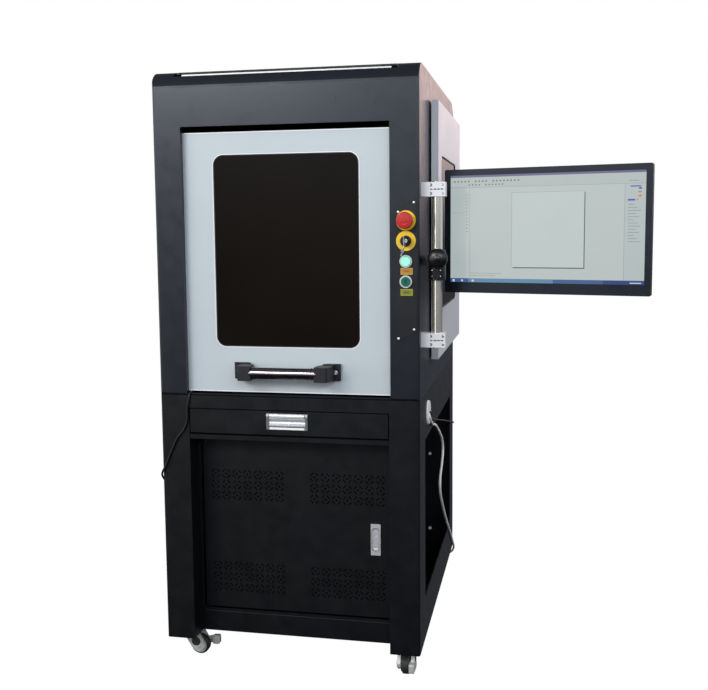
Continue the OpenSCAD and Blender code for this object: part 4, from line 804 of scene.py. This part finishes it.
@rides("flap", "pull_chrome", "scoop_grey")
def flap_form(bm):
    """The hanging flap: a scooped face between the brow and a rolled lip."""
    face, top, base = flap_low.y + 2.5, flap_high.z, flap_low.z
    scoop, scoop_depth, scoop_top = 11, 1.6, top - 7
    front_line = [(face + 2.0, top - 0.5), (face + 0.6, top - 3.5), (face, scoop_top)]
    for i in range(1, 9):
        t = i / 9
        front_line.append((face + scoop_depth * math.sin(math.pi * t), scoop_top - scoop * t))
    lip = [(flap_low.y + 2.6 + y, base + 4.0 + z) for y, z in arc(2.6, 3.4, 90, 270, 8)]
    back = [(flap_high.y - 0.4, base + 2), (flap_high.y, base + 8), (flap_high.y, top)]
    ribbon(bm, flap_low.x + 1.6, flap_high.x - 1.6, front_line + lip + back)


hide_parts("pull_flap")

# ---- lower door ----
door_low, door_high = box("lower_door_panel")
recess_face = door_low.y - 4
lock_low, lock_high = box("lock_plate")
paddle_low, paddle_high = box("lock_paddle")
lock_x = middle("lock_plate").x
paddle_z = middle("lock_paddle").z
paddle_wide, paddle_tall = paddle_high.x - paddle_low.x, paddle_high.z - paddle_low.z


@rides("cabinet", "lower_paint", bevel=1.2)
def drawer_rail(bm):
    """The folded cross rail between the posts, below the drawer."""
    tray_low, tray_high = box("drawer_tray")
    half = tray_high.x + 2.4
    block(bm, (-half, front_y + 0.6, tray_low.z - 17), (half, front_y + 18, tray_low.z - 4.5))


@rides("cabinet", "lower_paint", "hem_highlight")
def skirt_highlight(bm):
    """A lighter strip along the fold at the top of the skirt: painted highlight."""
    block(bm, (door_low.x - 3, recess_face - 0.4, door_low.z - 6.0),
          (door_high.x + 3, recess_face, door_low.z - 4.4))


@rides("lower_door", "monitor_black", "felt")
def vent_filter(bm):
    """Black felt air filters held behind the vent fields."""
    inner = door_low.y + 2.6
    half, tall = (door_high.x - door_low.x) / 2, door_high.z - door_low.z
    for side in (-0.53, 0.53):
        for low, high in ((0.1, 0.34), (0.62, 0.9)):
            block(bm, ((side - 0.44) * half, inner, door_low.z + low * tall),
                  ((side + 0.44) * half, inner + 2, door_low.z + high * tall))


@rides("lower_door", "lock_chrome", "cheek_grey", smooth=True)
def pivot_dot(bm):
    lathe(bm, [(0, 2.4), (0.7, 2.4), (1.1, 1.6)], (door_low.x + 8, door_low.y, door_high.z - 13), -Y, 24)


@rides("lower_door", "lock_chrome")
def lock_face(bm):
    """The thin square-cornered cover on the lock's plate."""
    wide, tall = paddle_wide + 3.2, paddle_tall + 3.2
    rim(bm, (lock_x, lock_low.y + 0.3, middle("lock_plate").z), FRONT,
        (lock_high.x - lock_low.x, lock_high.z - lock_low.z, 0.8), (wide, tall, wide / 2 - 0.4), 0.6, 3)


@rides("lower_door", "lock_chrome", "lock_rim")
def lock_details(bm):
    """The shadowed rim of the opening round the paddle."""
    wide, tall = paddle_wide + 1.6, paddle_tall + 1.6
    rim(bm, (lock_x, lock_low.y, paddle_z), FRONT, (wide + 1.4, tall + 1.4, wide / 2 + 0.4),
        (wide, tall, wide / 2 - 0.4), 0.5)


@rides("paddle", "lock_chrome", "rim_grey")
def paddle_face(bm):
    """The raised oval rim of the push paddle."""
    wide, tall = paddle_wide, paddle_tall
    rim(bm, (lock_x, paddle_low.y, paddle_z), FRONT, (wide - 1.6, tall - 2, wide / 2 - 0.9),
        (wide - 3.4, tall - 4, wide / 2 - 1.8), 0.5)


@rides("paddle", "lock_chrome", "edge_highlight")
def paddle_catch(bm):
    """The crescent edge of the thumb dish at the paddle's foot, in near white: painted highlight."""
    outline = arc(6.6, 6.0, 200, 340, 12) + arc(6.2, 3.4, 340, 200, 12)
    plate(bm, (lock_x, paddle_low.y, paddle_low.z + 10.5), FRONT, outline, 0.8)


# ---- monitor ----
across = Vector(joints["monitor_tilt"]["axis"]).normalized()
into = Vector((-across.y, across.x, 0))
TO_VIEWER, TO_BACK = (across, Z, -into), (across, Z, into)
housing_low, housing_high = box("monitor_housing")
screen_low, screen_high = box("monitor_screen")
HOUSING_DEPTH, SCREEN_DEPTH = 20, 2.5
monitor_width = ((housing_high.x - housing_low.x) - HOUSING_DEPTH * abs(into.x)) / across.x
screen_width = ((screen_high.x - screen_low.x) - SCREEN_DEPTH * abs(into.x)) / across.x
screen_height = screen_high.z - screen_low.z
face_centre = pivot("monitor_tilt") - into * 70
face_centre.z = middle("monitor_housing").z
screen_centre = Vector((face_centre.x, face_centre.y, middle("monitor_screen").z)) + into * 1.5


def field(name, colour, parts, lift=0.08):
    """Fields of colour on the screen: each is (left, bottom, right, top) as shares of the picture."""
    surface(name, colour, rough=(0.3, 0.36), emit=0.9, wear=0.02)

    def build(bm):
        for left, bottom, right, top in parts:
            x0, x1 = (left - 0.5) * screen_width, (right - 0.5) * screen_width
            z0, z1 = (bottom - 0.5) * screen_height, (top - 0.5) * screen_height
            plate(bm, screen_centre, TO_VIEWER, [(x0, z0), (x1, z0), (x1, z1), (x0, z1)], lift)

    piece(name, build, "monitor", "screen", name)


def row_of(count, spot, step, size, skip=()):
    """Equal fields, starting at spot and set apart by step."""
    corners = [(spot[0] + step[0] * k, spot[1] + step[1] * k) for k in range(count) if k not in skip]
    return [(x, z, x + size[0], z + size[1]) for x, z in corners]


field("screen_title", (0.13, 0.12, 0.24), [(0, 0.978, 1, 1)], 0.05)
field("screen_menu", (0.43, 0.49, 0.485), [(0, 0.885, 1, 0.978)], 0.04)
field("screen_side", (0.44, 0.5, 0.5), [(0, 0.035, 0.085, 0.885), (0.9, 0.035, 1, 0.885)], 0.04)
field("screen_sheet", (0.5, 0.565, 0.56), [(0.333, 0.147, 0.703, 0.828)], 0.06)
field("screen_sheet_edge", (0.1, 0.12, 0.13),
      [(0.703, 0.137, 0.708, 0.822), (0.339, 0.137, 0.708, 0.147)], 0.07)
field("screen_lines", (0.27, 0.32, 0.32),
      [(0.331, 0.147, 0.333, 0.83), (0.331, 0.828, 0.703, 0.831), (0.105, 0.035, 0.1065, 0.885),
       (0.0, 0.883, 1.0, 0.886), (0.898, 0.035, 0.9, 0.885), (0.0, 0.65, 0.085, 0.653),
       (0.0, 0.885, 0.085, 0.888)])
field("screen_tools", (0.11, 0.14, 0.16),
      row_of(19, (0.02, 0.935), (0.019, 0), (0.008, 0.014), skip=(5, 10))
      + row_of(11, (0.1, 0.903), (0.018, 0), (0.007, 0.012), skip=(4,)))
field("screen_column", (0.13, 0.16, 0.18), row_of(12, (0.088, 0.815), (0, -0.031), (0.006, 0.007)))
field("screen_rows", (0.25, 0.31, 0.32),
      [(0.915, 0.7 - 0.027 * k, 0.945 + 0.04 * ((k * 7) % 5) / 5, 0.706 - 0.027 * k) for k in range(13)]
      + [(0.915, 0.905, 0.965, 0.911)])
field("screen_notes", (0.3, 0.35, 0.36), [(0.11, 0.085, 0.28, 0.09), (0.11, 0.063, 0.246, 0.068)])
field("screen_marks_blue", (0.05, 0.09, 0.42),
      [(0.925, 0.855, 0.975, 0.865), (0.965, 0.835, 0.978, 0.85), (0.913, 0.735, 0.948, 0.75)])
field("screen_marks_red", (0.6, 0.16, 0.08),
      [(0.962, 0.805, 0.978, 0.817), (0.962, 0.77, 0.978, 0.782), (0.955, 0.737, 0.963, 0.749)])
field("screen_marks_gold", (0.7, 0.45, 0.08), [(0.968, 0.788, 0.978, 0.797)])
field("screen_bar", (0.04, 0.105, 0.27), [(0, 0, 1, 0.038)])
field("screen_bar_deep", (0.022, 0.05, 0.2), [(0.8, 0.0, 1.0, 0.036)], 0.085)
field("screen_bar_light", (0.1, 0.24, 0.38), [(0.1, 0.0, 0.55, 0.036)], 0.09)
field("screen_bar_marks", (0.58, 0.68, 0.72),
      [(0.012, 0.006, 0.024, 0.028), (0.06, 0.008, 0.07, 0.026), (0.118, 0.008, 0.13, 0.026),
       (0.93, 0.012, 0.985, 0.02)], 0.1)


@rides("monitor", "monitor_black")
def bezel_edge(bm):
    """The thin raised lip of the bezel round the picture."""
    rim(bm, screen_centre - into * 1.5, TO_BACK, (screen_width + 2.4, screen_height + 2.4, 1.6),
        (screen_width - 1.0, screen_height - 1.0, 0.9), 1.2, 3)


@rides("monitor", "monitor_black")
def bezel_buttons(bm):
    """Five buttons under the bezel's right end."""
    corner = face_centre + across * (monitor_width / 2) + into * 9
    corner.z = housing_low.z + 0.4
    for k in range(5):
        lathe(bm, [(-0.3, 2.8), (-0.2, 3.2), (0, 3.2)], corner - across * (34 + 16 * k), Z, 20)


@rides("monitor", "monitor_black")
def back_slots(bm):
    """Two rows of short cooling ribs on the monitor's back cover."""
    ribs, pitch, rise = 22, 9, 96
    for row in (-rise, rise):
        for k in range(ribs):
            at = face_centre + into * 50 + across * ((k - (ribs - 1) / 2) * pitch) + Z * row
            plate(bm, at, TO_BACK, rounded(4, 20, 1.9, 4), 0.6)


@rides("monitor", "bezel_silver", smooth=True)
def mount_screws(bm):
    for dx in (-50, 50):
        for dz in (-50, 50):
            screw_head(bm, face_centre + into * 44.2 + across * dx + Z * dz, into, 4, 2)


# ---- post and arm ----
post_x = middle("monitor_post").x
bracket_low, bracket_high = box("post_brackets")
collar_low, collar_high = box("arm_collar")
HALF_BRACKET = 17
SCREW_RISE = 10
bracket_levels = (bracket_low.z + HALF_BRACKET, bracket_high.z - HALF_BRACKET)


@rides("cabinet", "key_steel")
def bracket_screws(bm):
    for level in bracket_levels:
        for dz in (-SCREW_RISE, SCREW_RISE):
            lathe(bm, [(0, 2.6), (0.8, 2.4), (0.8, 1.3), (0.2, 1.2)],
                  (bracket_high.x - 5, bracket_low.y, level + dz), -Y, 20)


@rides("cabinet", "monitor_black", "gasket_rubber")
def bracket_marks(bm):
    """Dark details of both clamps: screw sockets, seen as chevrons, and the dashed slit of the split."""
    front, deep = bracket_low.y - 0.15, 0.5
    for level in bracket_levels:
        for k, dash in enumerate((4.6, 5.8, 5.8, 5.8)):
            left = 352.5 + 8.2 * k
            block(bm, (left, front, level - 1.3), (left + dash, front + deep, level + 1.3))
        for dz in (-SCREW_RISE, SCREW_RISE):
            for x, reach in ((356, 5.2), (383, 3.6)):
                tip = Matrix.Translation((x, front, level + dz))
                for turn in (-40, 40):
                    spin = Matrix.Rotation(math.radians(turn), 4, "Y")
                    block(bm, (-reach, 0, -1.2), (0, deep, 1.2), tip @ spin)


@rides("collar", "arm_black", smooth=True)
def arm_knob(bm):
    """The round clamp head on the arm's hub, with a domed cap facing the operator."""
    x, z = post_x + 4, collar_high.z + 19
    dome = [(0, 20.5), (4, 23.4), (10, 24.0), (15, 22.6), (19.5, 18.0), (22.5, 11.5), (23.5, 4.0)]
    lathe(bm, dome, (x, collar_low.y + 9, z), -Y)
    lathe(bm, [(0, 9), (3, 9), (4, 7.5)], (x, collar_low.y - 14, z), -Y, 6)


@rides("inner_link", "arm_black", smooth=True)
def arm_caps(bm):
    """Domed caps over the arm's pivots."""
    elbow = pivot("outer_arm_turn")
    for radius, z, up in ((17.5, box("outer_arm")[0].z + 24, Z), (18.0, box("inner_arm")[0].z, -Z)):
        lathe(bm, [(0, radius), (1.6, radius - 0.6), (2.6, radius - 4)], (elbow.x, elbow.y, z), up, 36)


@rides("collar", "screw_steel", smooth=True)
def collar_screws(bm):
    for side in (-1, 1):
        for z in (collar_low.z + 10, collar_high.z - 10):
            lathe(bm, [(0, 3.2), (3, 3.2), (3, 1.7), (1.4, 1.6)],
                  (post_x + side * 8, collar_low.y + 8, z), X * side, 20)


# ---- casters ----
CORNERS = ("front_left", "front_right", "rear_left", "rear_right")
for corner in CORNERS:
    axle = "wheel_turn_" + corner
    axis = Vector(joints[axle]["axis"]).normalized()
    at = pivot(axle)
    trail = at - pivot("swivel_turn_" + corner)
    trail.z = 0
    trail.normalize()

    def hub(bm):
        """Stepped hub rings on both faces of the wheel."""
        steps = [(12, 19.4), (12.6, 19), (12.6, 14), (12.1, 13.5), (12.1, 6), (12.5, 5.6), (12.5, 3.1)]
        for side in (-1, 1):
            lathe(bm, steps, at, axis * side, 36)

    def tread(bm):
        """Three shallow ribs round the tyre, a hair proud of it."""
        for offset in (-6, 0, 6):
            rib = [(offset - 1.2, 24.6), (offset - 0.8, 25), (offset + 0.8, 25), (offset + 1.2, 24.6)]
            lathe(bm, rib, at, axis, 48)

    def cheek_shade_discs(bm):
        """Dark discs in the round windows of both cheeks: painted shadow of the cabinet above."""
        for side in (-1, 1):
            spot = at - trail * 6 + Z * 15 + axis * side * 22.4
            lathe(bm, [(0, 12.4), (0.5, 12.0), (0.5, 0.4)], spot, axis * side, 36)

    piece("hub_" + corner, hub, "caster_" + corner, "wheel_black", "hub_grey")
    piece("tread_" + corner, tread, "caster_" + corner, "wheel_black")
    piece("cheek_shadow_" + corner, cheek_shade_discs, "swivel_" + corner, "zinc", "gasket_rubber")


@rides("cabinet", "zinc")
def plate_bolts(bm):
    z, spacing = box("caster_plates")[1].z - 3, 21
    for corner in CORNERS:
        at = pivot("swivel_turn_" + corner)
        for dx in (-spacing, spacing):
            for dy in (-spacing, spacing):
                lathe(bm, [(0, 4.2), (2.6, 4.2), (3.4, 3.4)], (at.x + dx, at.y + dy, z), -Z, 6)


# ---- chamber and equipment bay ----
@rides("cabinet", "table_metal")
def table_slots(bm):
    """Dark lips of the T-slots along the worktable."""
    low, high = box("worktable")
    pitch, lip = 46, 4.2
    for k in range(-3, 4):
        for x in (k * pitch - lip, k * pitch + lip):
            block(bm, (x - 0.5, low.y + 2, high.z - 0.05), (x + 0.5, high.y - 2, high.z + 0.35))


@rides("cabinet", "extrusion", bevel=0.8)
def column_rails(bm):
    low, high = box("z_column")
    for x in (-59, 59):
        block(bm, (x - 4.5, low.y - 5, low.z + 20), (x + 4.5, low.y, high.z - 20))


@rides("carriage", "carriage_dark")
def lens_barrel(bm):
    """The field lens under the scan head: knurled ring and stepped nose."""
    at = (0, middle("scan_head").y - 5, box("scan_head")[0].z + 0.5)
    lathe(bm, [(0, 40), (3, 41), (9, 41), (12, 38), (12, 30), (10, 29)], at, Z, 64)


@rides("cabinet", "bezel_silver", smooth=True)
def rear_screws(bm):
    """Screws round the edges of both rear panels."""
    inset = 9
    for node in ("upper_rear_panel", "lower_rear_panel"):
        low, high = box(node)
        halfway = (low.z + high.z) / 2
        for x in (low.x + inset, 0, high.x - inset):
            for z in (low.z + inset, halfway, high.z - inset):
                if x or z != halfway:
                    screw_head(bm, (x, rear_y, z), Y, 4, 1.6)


bay_spots = [Vector((322, -150, z)) for z in (518, 312)]


@rides("cabinet", "lower_paint", bevel=0.4)
def bay_tabs(bm):
    """Two small tabs inside the open side."""
    for at in bay_spots:
        block(bm, at + Vector((-5, 0, -7)), at + Vector((5.5, 2, 7)))


@rides("cabinet", "zinc")
def bay_bolts(bm):
    """Hexagon bolts through the tabs."""
    for at in bay_spots:
        lathe(bm, [(0, 4.2), (3.0, 4.2), (3.6, 3.4)], at, -Y, 6)


# ---- light ----
def area_light(name, place, aim, width, height, power, colour):
    data = bpy.data.lights.new(name, "AREA")
    data.shape = "RECTANGLE"
    data.size, data.size_y = width, height
    data.energy = power
    data.color = colour
    light = bpy.data.objects.new(name, data)
    light.location = place
    light.rotation_euler = (Vector(aim) - Vector(place)).to_track_quat("-Z", "Y").to_euler()
    bpy.context.collection.objects.link(light)


area_light("key", (-1.8, -3.8, 2.7), (0, 0, 1.3), 2.2, 0.9, 70, (1.0, 1.0, 1.0))
area_light("front", (1.4, -4.0, 2.4), (0, -0.4, 1.3), 2.0, 0.8, 30, (0.97, 0.98, 1.0))
area_light("side", (3.2, 0.6, 2.4), (0.3, 0, 1.2), 1.6, 1.6, 30, (1.0, 0.93, 0.9))

# The room: each colour lies over those before it, and fades in along each axis from one number to the other
GROUND = (0.012, 0.012, 0.014)
ROOM = (
    ((0.2, 0.21, 0.23), ("Z", -0.35, 0.05)),  # foot of the walls
    ((0.075, 0.08, 0.095), ("Y", 0.4, 0.85)),  # darker foot behind
    ((1.42, 1.49, 1.62), ("Z", -0.05, 0.32)),  # bright walls
    ((0.1, 0.1, 0.12), ("Z", 0.42, 0.72)),  # dim ceiling
    ((1.95, 1.46, 1.38), ("Y", 0.6, 0.95), ("Z", -0.02, 0.16)),  # warm wall behind
    ((1.9, 1.8, 1.62), ("X", -0.4, -0.62), ("Z", -0.22, -0.05), ("Y", -0.05, -0.3)),  # near left
)


def make_world():
    """A room, bright above eye level and dark below, with a warm wall behind; the camera sees white."""
    world = bpy.data.worlds.new("room")
    bpy.context.scene.world = world
    n = Nodes(world, "ShaderNodeOutputWorld", "Generated")
    way = n.add("ShaderNodeSeparateXYZ")
    n.link(n.place, way.inputs["Vector"])
    colour = GROUND
    for shade, *spans in ROOM:
        share = None
        for axis, start, end in spans:
            part = n.ramp(way.outputs[axis], 0, 1, start, end, "SMOOTHSTEP")
            share = part if share is None else n.math("MULTIPLY", share, part)
        colour = n.mix(share, colour, shade)
    lit = n.add("ShaderNodeBackground")
    n.link(colour, lit.inputs["Color"])
    white = n.add("ShaderNodeBackground", Color=(1, 1, 1, 1))
    camera_ray = n.add("ShaderNodeLightPath").outputs["Is Camera Ray"]
    n.blend(camera_ray, lit.outputs["Background"], white.outputs["Background"])


make_world()
bpy.context.scene.view_settings.view_transform = "Standard"
